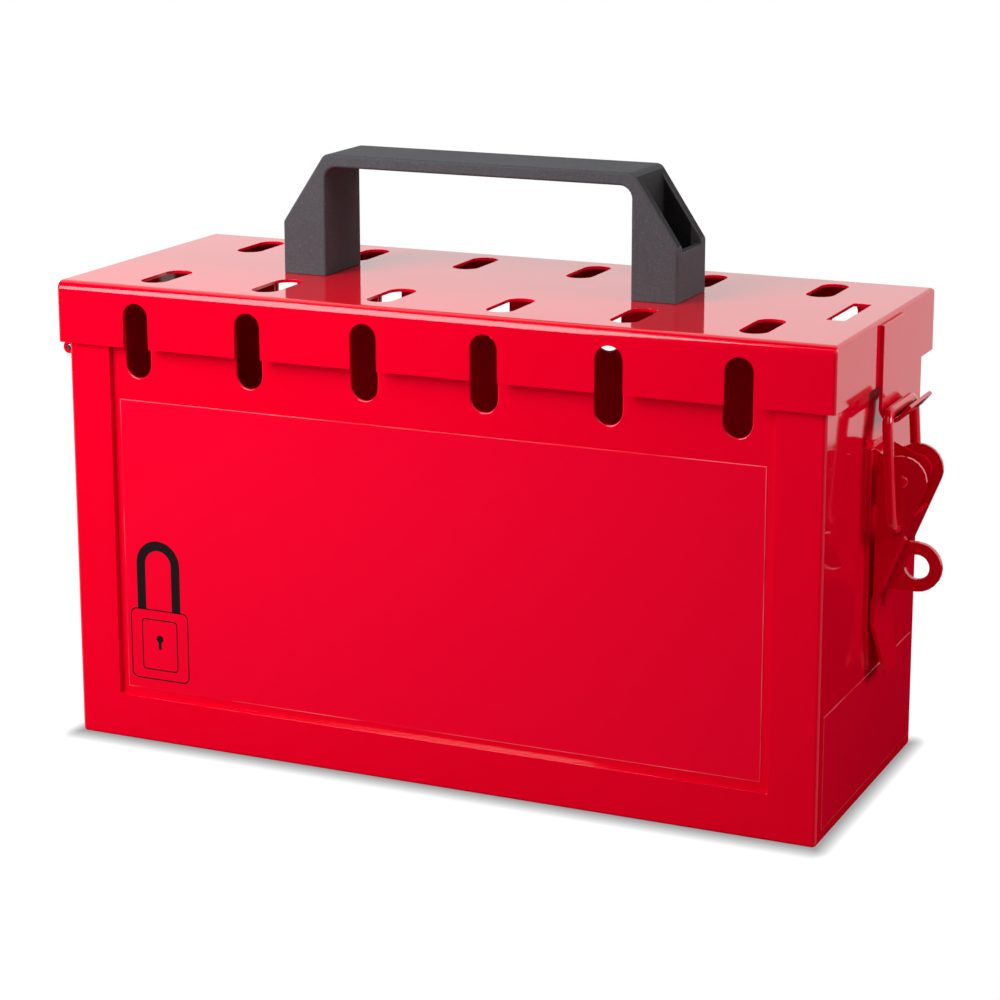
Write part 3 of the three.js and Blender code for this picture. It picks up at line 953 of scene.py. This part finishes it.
@dataclass
class SlotRow:
    """The padlock slots: two rows in the lid's top, and one row through each wall.

    The wall slots stand a little off the skirt's notches. The back ones are the shorter by back_lift,
    which leaves the daylight that shows through one slot only.
    """

    width: float = 9.0
    pitch: float = 40.4
    count: int = 6
    top_length: float = 23.6
    top_inset: float = 20.3
    wall_top: float = 4.9
    wall_length: float = 25.4
    front_shift: float = -1.4
    back_shift: float = 0.7
    back_lift: float = 1.2
    notch_top: float = 5.4

    def first_x(self) -> float:
        """Gives the first slot's place along the box."""
        return -(self.count - 1) / 2 * self.pitch


@dataclass
class Lid:
    """The lid: a shallow folded tray with slots, skirt notches and a key slot."""

    shop: Workshop
    slots: SlotRow
    sheet: float = 1.0
    fold: float = 3.0
    corner: float = 1.2
    rim: float = 0.3
    key_width: float = 5.8
    key_length: float = 28.2
    key_corner: float = 0.6
    key_inset: float = 12.3
    stroke: float = 6.0

    def build(self) -> None:
        """Folds, punches and paints the lid."""
        low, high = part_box("lid_shell")
        lid = folded_tray("lid_tray", low, high, Opening.UNDERSIDE, self.sheet, self.fold, self.corner)
        (end, side, top), bottom = high / MM, low.z / MM
        first_x, width = self.slots.first_x(), self.slots.width
        row = {"count": self.slots.count, "pitch": self.slots.pitch}
        size = (width, self.slots.top_length)
        for y in (self.slots.top_inset - side, side - self.slots.top_inset):
            self.shop.punch_row(lid, size, width / 2, Vector((first_x, y, top)), self.stroke, **row)
        notch_top, notch_end = top - self.slots.notch_top, bottom - width
        size = (width, notch_top - notch_end)
        first = Vector((first_x, 0, (notch_top + notch_end) / 2))
        self.shop.punch_row(lid, size, width / 2, first, BOTH_WALLS * side, CROSSWISE, **row)
        size = (self.key_width, self.key_length)
        first = Vector((end - self.key_inset, 0, top))
        self.shop.punch_row(lid, size, self.key_corner, first, self.stroke)
        hand_over(round_edges(lid, self.rim), Body.LID, self.shop.paint, ["lid_shell"])


@dataclass
class BoxBody:
    """The body: a folded wrap of floor, ends and flanges, with a slotted panel behind each window."""

    shop: Workshop
    slots: SlotRow
    sheet: float = 2.0
    fold: float = 1.2
    corner: float = 1.4
    flange: float = 15.0
    window_corner: float = 0.5
    window_edge: float = 1.9
    window_facets: int = 6
    rim: float = 0.25
    slot_rim: float = 0.45
    slot_facets: int = 3
    stroke: float = 16.0

    def build(self) -> None:
        """Builds the wrap and both panels."""
        low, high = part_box("body_shell")
        wrap = folded_tray("body_wrap", low, high, Opening.TOP, self.sheet, self.fold, self.corner)
        end, side, top = high / MM
        window = (2 * (end - self.flange), 2 * (top - self.flange))
        middle = Vector((0, 0, top))
        self.shop.punch_row(wrap, window, self.window_corner, middle, BOTH_WALLS * side, CROSSWISE)
        face = side - self.sheet / 2

        def radius(middle: Vector, direction: Vector) -> float:
            """Gives the window's rolled edge on the faces, and the plain rim elsewhere."""
            return self.window_edge if abs(middle.y) > face else self.rim

        round_edges(wrap, radius, self.window_facets)
        hand_over(wrap, Body.BOX, self.shop.paint, ["body_shell"])
        slot_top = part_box("lid_shell")[1].z / MM - self.slots.wall_top
        rows = (
            ("front_panel", self.slots.front_shift, 0.0),
            ("back_panel", self.slots.back_shift, self.slots.back_lift),
        )
        for node, shift, lift in rows:
            panel = block(f"{node}_plate", *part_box(node))
            size = (self.slots.width, self.slots.wall_length - lift)
            middle_y = sum(corner.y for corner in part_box(node)) / (2 * MM)
            first = Vector((self.slots.first_x() + shift, middle_y, slot_top - size[1] / 2))
            row = {"count": self.slots.count, "pitch": self.slots.pitch}
            self.shop.punch_row(panel, size, self.slots.width / 2, first, self.stroke, CROSSWISE, **row)
            round_edges(panel, self.slot_rim, self.slot_facets, clamp=False)
            hand_over(panel, Body.BOX, self.shop.paint, [node])


@dataclass
class Hinge:
    """The continuous hinge: two leaves with rolled knuckles on one pin."""

    shop: Workshop
    leaf_edge: float = 0.15
    pin_edge: float = 0.3
    pin_facets: int = 3

    def build(self) -> None:
        """Dresses both leaves and the pin."""
        for node, body in (("hinge_body_leaf", Body.BOX), ("hinge_lid_leaf", Body.LID)):
            dress(node, body, self.shop.paint, self.leaf_edge)
        dress("hinge_pin", Body.BOX, self.shop.zinc, self.pin_edge, self.pin_facets)


@dataclass
class CarryHandle:
    """The moulded bridge handle, with a pocket in each leg for its screw, and what holds it."""

    shop: Workshop
    leg: float = 15.3
    bar: float = 4.1
    top_lap: float = 0.4
    shoulder: float = 17.0
    shoulder_radius: float = 2.0
    top_radius: float = 3.0
    inner_radius: float = 4.0
    outer_wall: float = 2.85
    inner_wall: float = 2.0
    side_wall: float = 4.2
    pocket_floor: float = 8.0
    pocket_sill: float = 15.4
    pocket_corner: float = 1.0
    screw_hole: float = 5.4
    hole_overrun: float = 1.0
    long_edge: float = 0.9
    edge_facets: int = 5
    rim_facets: int = 3
    mouth_edge: float = 0.5
    foot_edge: float = 0.3
    hardware_edge: float = 0.25
    size: Vector = field(init=False)
    foot: Vector = field(init=False)

    def __post_init__(self) -> None:
        """Reads the handle's size and the middle of its foot, in millimetres."""
        low, high = (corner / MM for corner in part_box("carry_handle"))
        self.size = high - low
        self.foot = Vector(((low.x + high.x) / 2, (low.y + high.y) / 2, low.z))

    def bridge(self) -> Piece:
        """Lofts the bridge across its width, with its long edges rounded and no pockets."""
        half, deep, rise = self.size.x / 2, self.size.y / 2, self.size.z
        inside = half - self.leg
        top = inside + self.top_lap
        under = rise - self.bar
        side = filleted(
            (
                (half, 0, 0),
                (half, self.shoulder, self.shoulder_radius),
                (top, rise, self.top_radius),
                (-top, rise, self.top_radius),
                (-half, self.shoulder, self.shoulder_radius),
                (-half, 0, 0),
                (-inside, 0, 0),
                (-inside, under, self.inner_radius),
                (inside, under, self.inner_radius),
                (inside, 0, 0),
            )
        )
        turns = [HALF_TURN / 2 * k / self.edge_facets for k in range(self.edge_facets + 1)]
        steps = [(self.long_edge * (1 - math.cos(t)), self.long_edge * (1 - math.sin(t))) for t in turns]
        sections = [(way - deep, depth) for way, depth in steps]
        sections += [(deep - way, depth) for way, depth in reversed(steps)]
        rings = [
            [self.foot + Vector((p.x, y, p.y)) for p in inset(side, depth, 0.0)] for y, depth in sections
        ]
        return lofted("bridge_handle", rings)

    def pockets(self, handle: Piece) -> None:
        """Opens each leg's pocket, its mouth through the outer wall, and the screw's hole."""
        half, rise = self.size.x / 2, self.size.z
        length = self.size.y - 2 * self.side_wall
        well = self.leg - self.outer_wall - self.inner_wall
        mouth = self.outer_wall + 2 * self.pocket_corner
        cuts = (
            (half - self.outer_wall - well / 2, self.pocket_floor, (well, length), self.pocket_corner),
            (half - self.outer_wall / 2, self.pocket_sill, (mouth, length), LEAST_BEND),
        )
        for reach, floor, size, corner in cuts:
            first = self.foot + Vector((-reach, 0, floor + rise / 2))
            self.shop.punch_row(handle, size, corner, first, rise, count=2, pitch=2 * reach)
        round_edges(handle, self.radius, self.rim_facets, clamp=False)
        reach = half - self.leg / 2
        first = self.foot + Vector((-reach, 0, self.pocket_floor / 2))
        hole, stroke = (self.screw_hole, self.screw_hole), self.pocket_floor + self.hole_overrun
        self.shop.punch_row(handle, hole, self.screw_hole / 2, first, stroke, count=2, pitch=2 * reach)

    def dress_pockets(self, handle: Piece) -> None:
        """Gives the pockets' insides the darker nylon, as painted shade that makes them read near black.
        """
        half, across = self.size.x / 2, self.size.y / 2 - self.side_wall
        inner, outer = half - self.leg + self.inner_wall, half - self.outer_wall
        handle.data.materials.append(self.shop.core)
        for face in handle.data.polygons:
            place = face.center / MM - self.foot
            inside = inner - SAME_PLACE < abs(place.x) < outer + SAME_PLACE
            if inside and abs(place.y) < across + SAME_PLACE and place.z > self.pocket_floor - SAME_PLACE:
                # Faces inside a pocket take the darker nylon as painted shade.
                face.material_index = 1

    def radius(self, middle: Vector, direction: Vector) -> float:
        """Gives an edge's radius by its height above the foot: the foot's, the pocket rim's or none."""
        rise = middle.z - self.foot.z
        if rise < self.foot_edge:
            return self.foot_edge
        return self.mouth_edge if rise > self.pocket_sill - self.foot_edge else 0.0

    def build(self) -> None:
        """Moulds the handle and dresses what holds it."""
        handle = self.bridge()
        self.pockets(handle)
        hand_over(handle, Body.LID, self.shop.nylon, ["carry_handle"])
        self.dress_pockets(handle)
        for kind in ("screw", "washer", "nut"):
            left, right = (f"handle_{kind}_{end}" for end in ("left", "right"))
            pair = round_edges(worked_copy(left), self.hardware_edge)
            pair.name = f"handle_{kind}s"
            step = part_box(right)[0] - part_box(left)[0]
            run_nodes(pair, self.shop.repeat, {"Count": 2, "Step": step, "Finish": self.shop.zinc})
            hand_over(pair, Body.LID, self.shop.zinc, [left, right])


@dataclass
class Latch:
    """The over-centre latch: base, eye, lever, wire bail, and the keeper on the lid."""

    shop: Workshop
    edge: float = 0.3
    lever_bend: float = 2.2
    lever_facets: int = 4
    wire: float = 3.3
    bar_bend: float = 4.4
    foot_bend: float = 6.0
    foot_reach: float = 6.4

    def lever_radius(self, middle: Vector, direction: Vector) -> float:
        """Gives the bend radius of one of the lever's edges.

        Args:
            middle: the edge's middle.
            direction: the edge's direction.

        Returns:
            The radius in millimetres.
        """
        low, high = (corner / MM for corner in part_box("latch_lever"))
        on_side = min(abs(middle.y - low.y), abs(middle.y - high.y)) < self.edge
        leans = direction.z * direction.x > LEANING > abs(direction.y)
        return self.lever_bend if on_side and leans else self.edge

    def build(self) -> None:
        """Dresses every piece of the latch."""
        paint = self.shop.paint
        dress("latch_lever", Body.LEVER, paint, self.lever_radius, self.lever_facets)
        dress("keeper", Body.LID, paint, self.edge)
        rivets = [f"latch_rivet_{i}" for i in (1, 2, 3)]
        for node in ("latch_base", "padlock_eye", "lever_pin", *rivets):
            dress(node, Body.BOX, paint, self.edge)
        self.bail()

    def bail(self) -> None:
        """Bends the wire bail."""
        low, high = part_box("bail")
        radius = self.wire * MM / 2
        middle_y = (low.y + high.y) / 2
        half = (high.y - low.y) / 2 - radius
        foot_x, bar_x = high.x - radius, low.x + radius
        foot_z, bar_z = low.z + radius, high.z - radius
        reach = self.foot_reach * MM
        corners = [
            (foot_x, -reach, foot_z, 0.0),
            (foot_x, -half, foot_z, self.foot_bend),
            (bar_x, -half, bar_z, self.bar_bend),
            (bar_x, half, bar_z, self.bar_bend),
            (foot_x, half, foot_z, self.foot_bend),
            (foot_x, reach, foot_z, 0.0),
        ]
        shape = bmesh.new()
        bend = shape.verts.layers.float.new("bend")
        verts = []
        for x, y, z, r in corners:
            vert = shape.verts.new((x, middle_y + y, z))
            vert[bend] = r * MM
            verts.append(vert)
        for a, b in zip(verts, verts[1:]):
            shape.edges.new((a, b))
        wire = piece_from("wire_bail", shape)
        values = {"Radius": radius, "Sides": WIRE_SIDES, "Finish": self.shop.paint}
        run_nodes(wire, self.shop.wire, values)
        wire.data.shade_smooth()
        hand_over(wire, Body.BAIL, self.shop.paint, ["bail"])


@dataclass
class Labels:
    """The two bare film labels, and the plain padlock sign on the front one.

    The sign is a line drawing of no padlock in particular: a body, a plate with a keyhole, and a solid
    shackle.
    """

    shop: Workshop
    film: GlossFilm = field(default_factory=GlossFilm)
    film_edge: float = 0.05
    sign_inset: tuple[float, float] = (1.5, 3.4)
    body: tuple[float, float] = (21.6, 24.0)
    body_corner: float = 2.4
    plate: tuple[float, float] = (13.4, 17.4)
    plate_corner: float = 1.4
    line: float = 0.42
    keyhole: float = 1.3
    keyhole_slot: tuple[float, float] = (1.1, 3.6)
    keyhole_share: float = 0.62
    shackle: tuple[float, float] = (16.0, 23.6)
    shackle_bar: float = 3.2
    ink: float = 0.03
    arc_facets: int = 24

    def build(self) -> None:
        """Dresses the films and prints the sign."""
        for node, across in (("front_label", 0), ("end_label", 1)):
            label = block(f"{node}_film", *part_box(node))
            round_edges(label, self.film_edge)
            hand_over(label, Body.BOX, self.film.material(node, across), [node])
        self.print_sign()

    def frame_outline(self, size: tuple[float, float], corner: float) -> list[Vector]:
        """Draws a round-cornered rectangle about the body's middle."""
        x, z = size[0] / 2, size[1] / 2
        return filleted([(x, -z, corner), (x, z, corner), (-x, z, corner), (-x, -z, corner)])

    def shackle_outline(self) -> list[Vector]:
        """Draws the shackle, which stands on the body's upper edge."""
        foot = self.body[1] / 2 - self.line
        top = foot + self.shackle[1]
        outer = self.shackle[0] / 2
        inner = outer - self.shackle_bar
        under = top - self.shackle_bar
        corners = (
            (outer, foot, 0),
            (outer, top, outer),
            (-outer, top, outer),
            (-outer, foot, 0),
            (-inner, foot, 0),
            (-inner, under, inner),
            (inner, under, inner),
            (inner, foot, 0),
        )
        return filleted(corners, self.arc_facets)

    def keyhole_outline(self) -> list[Vector]:
        """Draws a round keyhole with its slot below it."""
        half, drop = self.keyhole_slot[0] / 2, self.keyhole_slot[1]
        sweep = HALF_TURN - math.asin(half / self.keyhole)
        turns = [sweep * (2 * k / self.arc_facets - 1) for k in range(self.arc_facets + 1)]
        points = [Vector((math.sin(t), math.cos(t))) * self.keyhole for t in turns]
        rise = Vector((0, self.plate[1] * (self.keyhole_share - 0.5)))
        return [p + rise for p in (*points, Vector((half, -drop)), Vector((-half, -drop)))]

    def print_sign(self) -> None:
        """Prints the sign's lines and solids as ink of one thickness."""
        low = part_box("front_label")[0] / MM
        (across, up), (width, height) = self.sign_inset, self.body
        middle = low + Vector((across + width / 2, 0, up + height / 2))

        def ring(points: Sequence[Vector], y: float) -> list[Vector]:
            """Sets an outline in front of the film."""
            return [Vector((middle.x + p.x, middle.y + y, middle.z + p.y)) for p in points]

        face = -self.ink
        pieces = []
        for name, size, corner in (
            ("sign_body", self.body, self.body_corner), ("sign_plate", self.plate, self.plate_corner)
        ):
            outer = self.frame_outline(size, corner)
            inner = inset(outer, self.line, -math.inf)
            rings = [ring(outer, 0), ring(outer, face), ring(inner, face), ring(inner, 0)]
            pieces.append(lofted(name, rings, ends_meet=True))
        for name, outline in (
            ("sign_shackle", self.shackle_outline()), ("sign_keyhole", self.keyhole_outline())
        ):
            pieces.append(lofted(name, [ring(outline, 0), ring(outline, face)]))
        for piece in pieces:
            hand_over(piece, Body.BOX, self.shop.ink)


@dataclass(frozen=True)
class Softbox:
    """One soft rectangular lamp."""

    name: str
    place: tuple[float, float, float]
    size: tuple[float, float]
    power: float
    mirrored: bool = True

    def hang(self, aim: Vector) -> None:
        """Hangs the lamp.

        Args:
            aim: the point it faces, in metres.
        """
        data = bpy.data.lights.new(self.name, "AREA")
        data.shape = "RECTANGLE"
        data.size, data.size_y = self.size
        data.energy = self.power
        lamp = add_object(self.name, data)
        lamp.visible_camera = False
        lamp.visible_glossy = self.mirrored
        place = Vector(self.place)
        turn = (place - aim).to_track_quat("Z", "Y").to_matrix().to_4x4()
        lamp.matrix_world = Matrix.Translation(place) @ turn


@dataclass
class Studio:
    """The white sweep, the lamps and the camera."""

    centre: tuple[float, float, float] = (0.35579, -0.7862, 0.31047)
    look: tuple[float, float, float] = (-0.40385, 0.88664, -0.22535)
    right: tuple[float, float, float] = (0.91023, 0.41409, -0.00201)
    lens: float = 99.343
    shift: tuple[float, float] = (0.01403, -0.09045)
    sensor: float = 36.0
    sight: float = 50.0
    floor_reach: float = 6.0
    table_edge: tuple[float, float] = (0.42, 0.44)
    paper_tone: float = 0.5
    contact: tuple[float, float] = (5.0, 8.0)
    contact_tone: float = 0.64
    screen_power: float = 2.2
    sweep_tone: float = 0.85
    backdrop: float = 1.2
    backdrop_from: tuple[float, float] = (-0.05, 0.15)
    backdrop_top: tuple[float, float] = (0.94, 0.88)
    card_core: float = 0.7
    latch_card: tuple[float, float, float] = (14.0, 42.0, 0.4)
    hinge_card: tuple[float, float, float] = (4.0, 36.0, 0.8)
    aim: tuple[float, float, float] = (0.0, 0.0, 0.1)
    lamps: tuple[Softbox, ...] = (
        Softbox("key softbox", (-0.2, -0.35, 0.35), (0.27, 0.40), 2.75),
        Softbox("side softbox", (0.725, 0.0, 0.438), (0.3, 0.3), 2.95),
        Softbox("front fill", (0.2, -0.32, 0.42), (0.3, 0.3), 0.2),
        Softbox("overhead strip", (0.0, -0.2, 0.5), (0.5, 0.02), 0.11),
        Softbox("back softbox", (-0.14, 0.5, 0.2), (0.24, 0.3), 1.5, mirrored=False),
        Softbox("hinge end softbox", (-0.6, 0.22, 0.2), (0.3, 0.3), 2.2),
    )

    def camera(self) -> None:
        """Sets the camera at the photograph's place."""
        data = bpy.data.cameras.new("camera")
        data.sensor_width = self.sensor
        data.lens = self.lens
        data.shift_x, data.shift_y = self.shift
        data.clip_end = self.sight
        camera = add_object("camera", data)
        look = Vector(self.look).normalized()
        right = (Vector(self.right) - look * look.dot(Vector(self.right))).normalized()
        up = right.cross(look)
        turn = Matrix((right, up, -look)).transposed().to_4x4()
        camera.matrix_world = Matrix.Translation(Vector(self.centre)) @ turn
        bpy.context.scene.camera = camera

    def seen_floor(self, tree: Tree, axes: Node) -> Node:
        """Makes what the eye sees of the floor: white, with a soft contact shadow round the box.

        Args:
            tree: the floor's material tree.
            axes: the node that parts the Object coordinates.

        Returns:
            The shader node.
        """
        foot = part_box("body_shell")[1]
        away: dict[str | int, Node] = {}
        for axis, half, reach in zip("XY", foot, self.contact):
            size = add_node(tree, "ShaderNodeMath", {0: axes.outputs[axis]}, operation="ABSOLUTE")
            away[axis] = add_node(tree, "ShaderNodeMapRange", {0: size, 1: half, 2: half + reach * MM})
        place = add_node(tree, "ShaderNodeCombineXYZ", away)
        distance = add_node(tree, "ShaderNodeVectorMath", {0: place}, operation="LENGTH").outputs["Value"]
        tone = add_node(tree, "ShaderNodeMapRange", {0: distance, 3: self.contact_tone})
        level = add_node(tree, "ShaderNodeMath", {0: tone, 1: self.screen_power}, operation="POWER")
        return add_node(tree, "ShaderNodeEmission", {"Strength": level})

    def end_card(
        self, tree: Tree, axes: Node, end: int, card: tuple[float, float, float]
    ) -> Node:
        """Lays a white card on the table beside one end, which only rounded edges mirror.

        Args:
            tree: the floor's material tree.
            axes: the node that parts the Object coordinates.
            end: 1 for the latch end and -1 for the hinge end.
            card: the bearing of its middle and its half angle in degrees, and its brightness.

        Returns:
            The node whose output is the card's brightness.
        """
        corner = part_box("body_shell")[1]
        outward = add_node(tree, "ShaderNodeMath", {0: axes.outputs["X"], 1: end}, operation="MULTIPLY")
        along = add_node(tree, "ShaderNodeMath", {0: outward, 1: corner.x}, operation="SUBTRACT")
        across = add_node(tree, "ShaderNodeMath", {0: axes.outputs["Y"], 1: corner.y}, operation="ADD")
        bearing = add_node(tree, "ShaderNodeMath", {0: across, 1: along}, operation="ARCTAN2")
        middle, half = (math.radians(angle) for angle in card[:2])
        off = add_node(tree, "ShaderNodeMath", {0: bearing, 1: middle}, operation="SUBTRACT")
        size = add_node(tree, "ShaderNodeMath", {0: off}, operation="ABSOLUTE")
        fade = {0: size, 1: half, 2: half * self.card_core, 4: card[2]}
        return add_node(tree, "ShaderNodeMapRange", fade)

    def floor(self) -> None:
        """Lays the floor: white to the eye, paper to the lamps, and a dark table to the gloss."""
        shape = bmesh.new()
        bmesh.ops.create_grid(shape, x_segments=1, y_segments=1, size=self.floor_reach)
        floor = piece_from("floor", shape)
        material, tree, place = new_material("white studio sweep")
        material.cycles.emission_sampling = "NONE"
        axes = add_node(tree, "ShaderNodeSeparateXYZ", {0: place})
        tone = self.paper_tone
        paper = add_node(tree, "ShaderNodeBsdfDiffuse", {"Color": (tone, tone, tone, 1.0)})
        start, end = self.table_edge
        sweep = {0: axes.outputs["Y"], 1: start, 2: end, 4: self.sweep_tone}
        bright = add_node(tree, "ShaderNodeMapRange", sweep)
        for side, card in ((1, self.latch_card), (-1, self.hinge_card)):
            share = self.end_card(tree, axes, side, card)
            bright = add_node(tree, "ShaderNodeMath", {0: bright, 1: share}, operation="MAXIMUM")
        mirrored = add_node(tree, "ShaderNodeEmission", {"Strength": bright})
        path = add_node(tree, "ShaderNodeLightPath").outputs
        gloss = add_node(tree, "ShaderNodeMixShader", {0: path["Is Glossy Ray"], 1: paper, 2: mirrored})
        seen = self.seen_floor(tree, axes)
        final = add_node(tree, "ShaderNodeMixShader", {0: path["Is Camera Ray"], 1: gloss, 2: seen})
        add_node(tree, "ShaderNodeOutputMaterial", {"Surface": final})
        floor.data.materials.append(material)

    def world(self) -> None:
        """Sets a white backdrop for the eye and the gloss; the lamps alone give the rest of the light."""
        world = bpy.data.worlds.new("studio")
        bpy.context.scene.world = world
        world.use_nodes = True
        world.cycles.sampling_method = "NONE"
        tree = world.node_tree
        tree.nodes.clear()
        white = srgb("#FFFFFF")
        seen = add_node(tree, "ShaderNodeBackground", {"Color": white})
        direction = add_node(tree, "ShaderNodeTexCoord").outputs["Generated"]
        axes = add_node(tree, "ShaderNodeSeparateXYZ", {0: direction}).outputs
        start, end = self.backdrop_from
        behind = add_node(tree, "ShaderNodeMapRange", {0: axes["Y"], 1: start, 2: end})
        start, end = self.backdrop_top
        low = add_node(tree, "ShaderNodeMapRange", {0: axes["Z"], 1: start, 2: end, 4: self.backdrop})
        card = add_node(tree, "ShaderNodeMath", {0: behind, 1: low}, operation="MULTIPLY")
        path = add_node(tree, "ShaderNodeLightPath").outputs
        shown = {0: card, 1: path["Is Glossy Ray"]}
        mirrored = add_node(tree, "ShaderNodeMath", shown, operation="MULTIPLY")
        gloss = add_node(tree, "ShaderNodeBackground", {"Color": white, "Strength": mirrored})
        final = add_node(tree, "ShaderNodeMixShader", {0: path["Is Camera Ray"], 1: gloss, 2: seen})
        add_node(tree, "ShaderNodeOutputWorld", {"Surface": final})

    def build(self) -> None:
        """Sets up the whole studio."""
        self.camera()
        self.floor()
        self.world()
        for lamp in self.lamps:
            lamp.hang(Vector(self.aim))
        bpy.context.scene.view_settings.view_transform = "Standard"


def main() -> None:
    """Builds the box and its studio."""
    logging.basicConfig(level=logging.INFO, format="%(message)s")
    shop = Workshop()
    slots = SlotRow()
    parts = (
        Lid(shop, slots), BoxBody(shop, slots), Hinge(shop), CarryHandle(shop), Latch(shop), Labels(shop)
    )
    for part in parts:
        LOG.info("building %s", type(part).__name__)
        part.build()
    Studio().build()


if __name__ == "__main__":
    main()
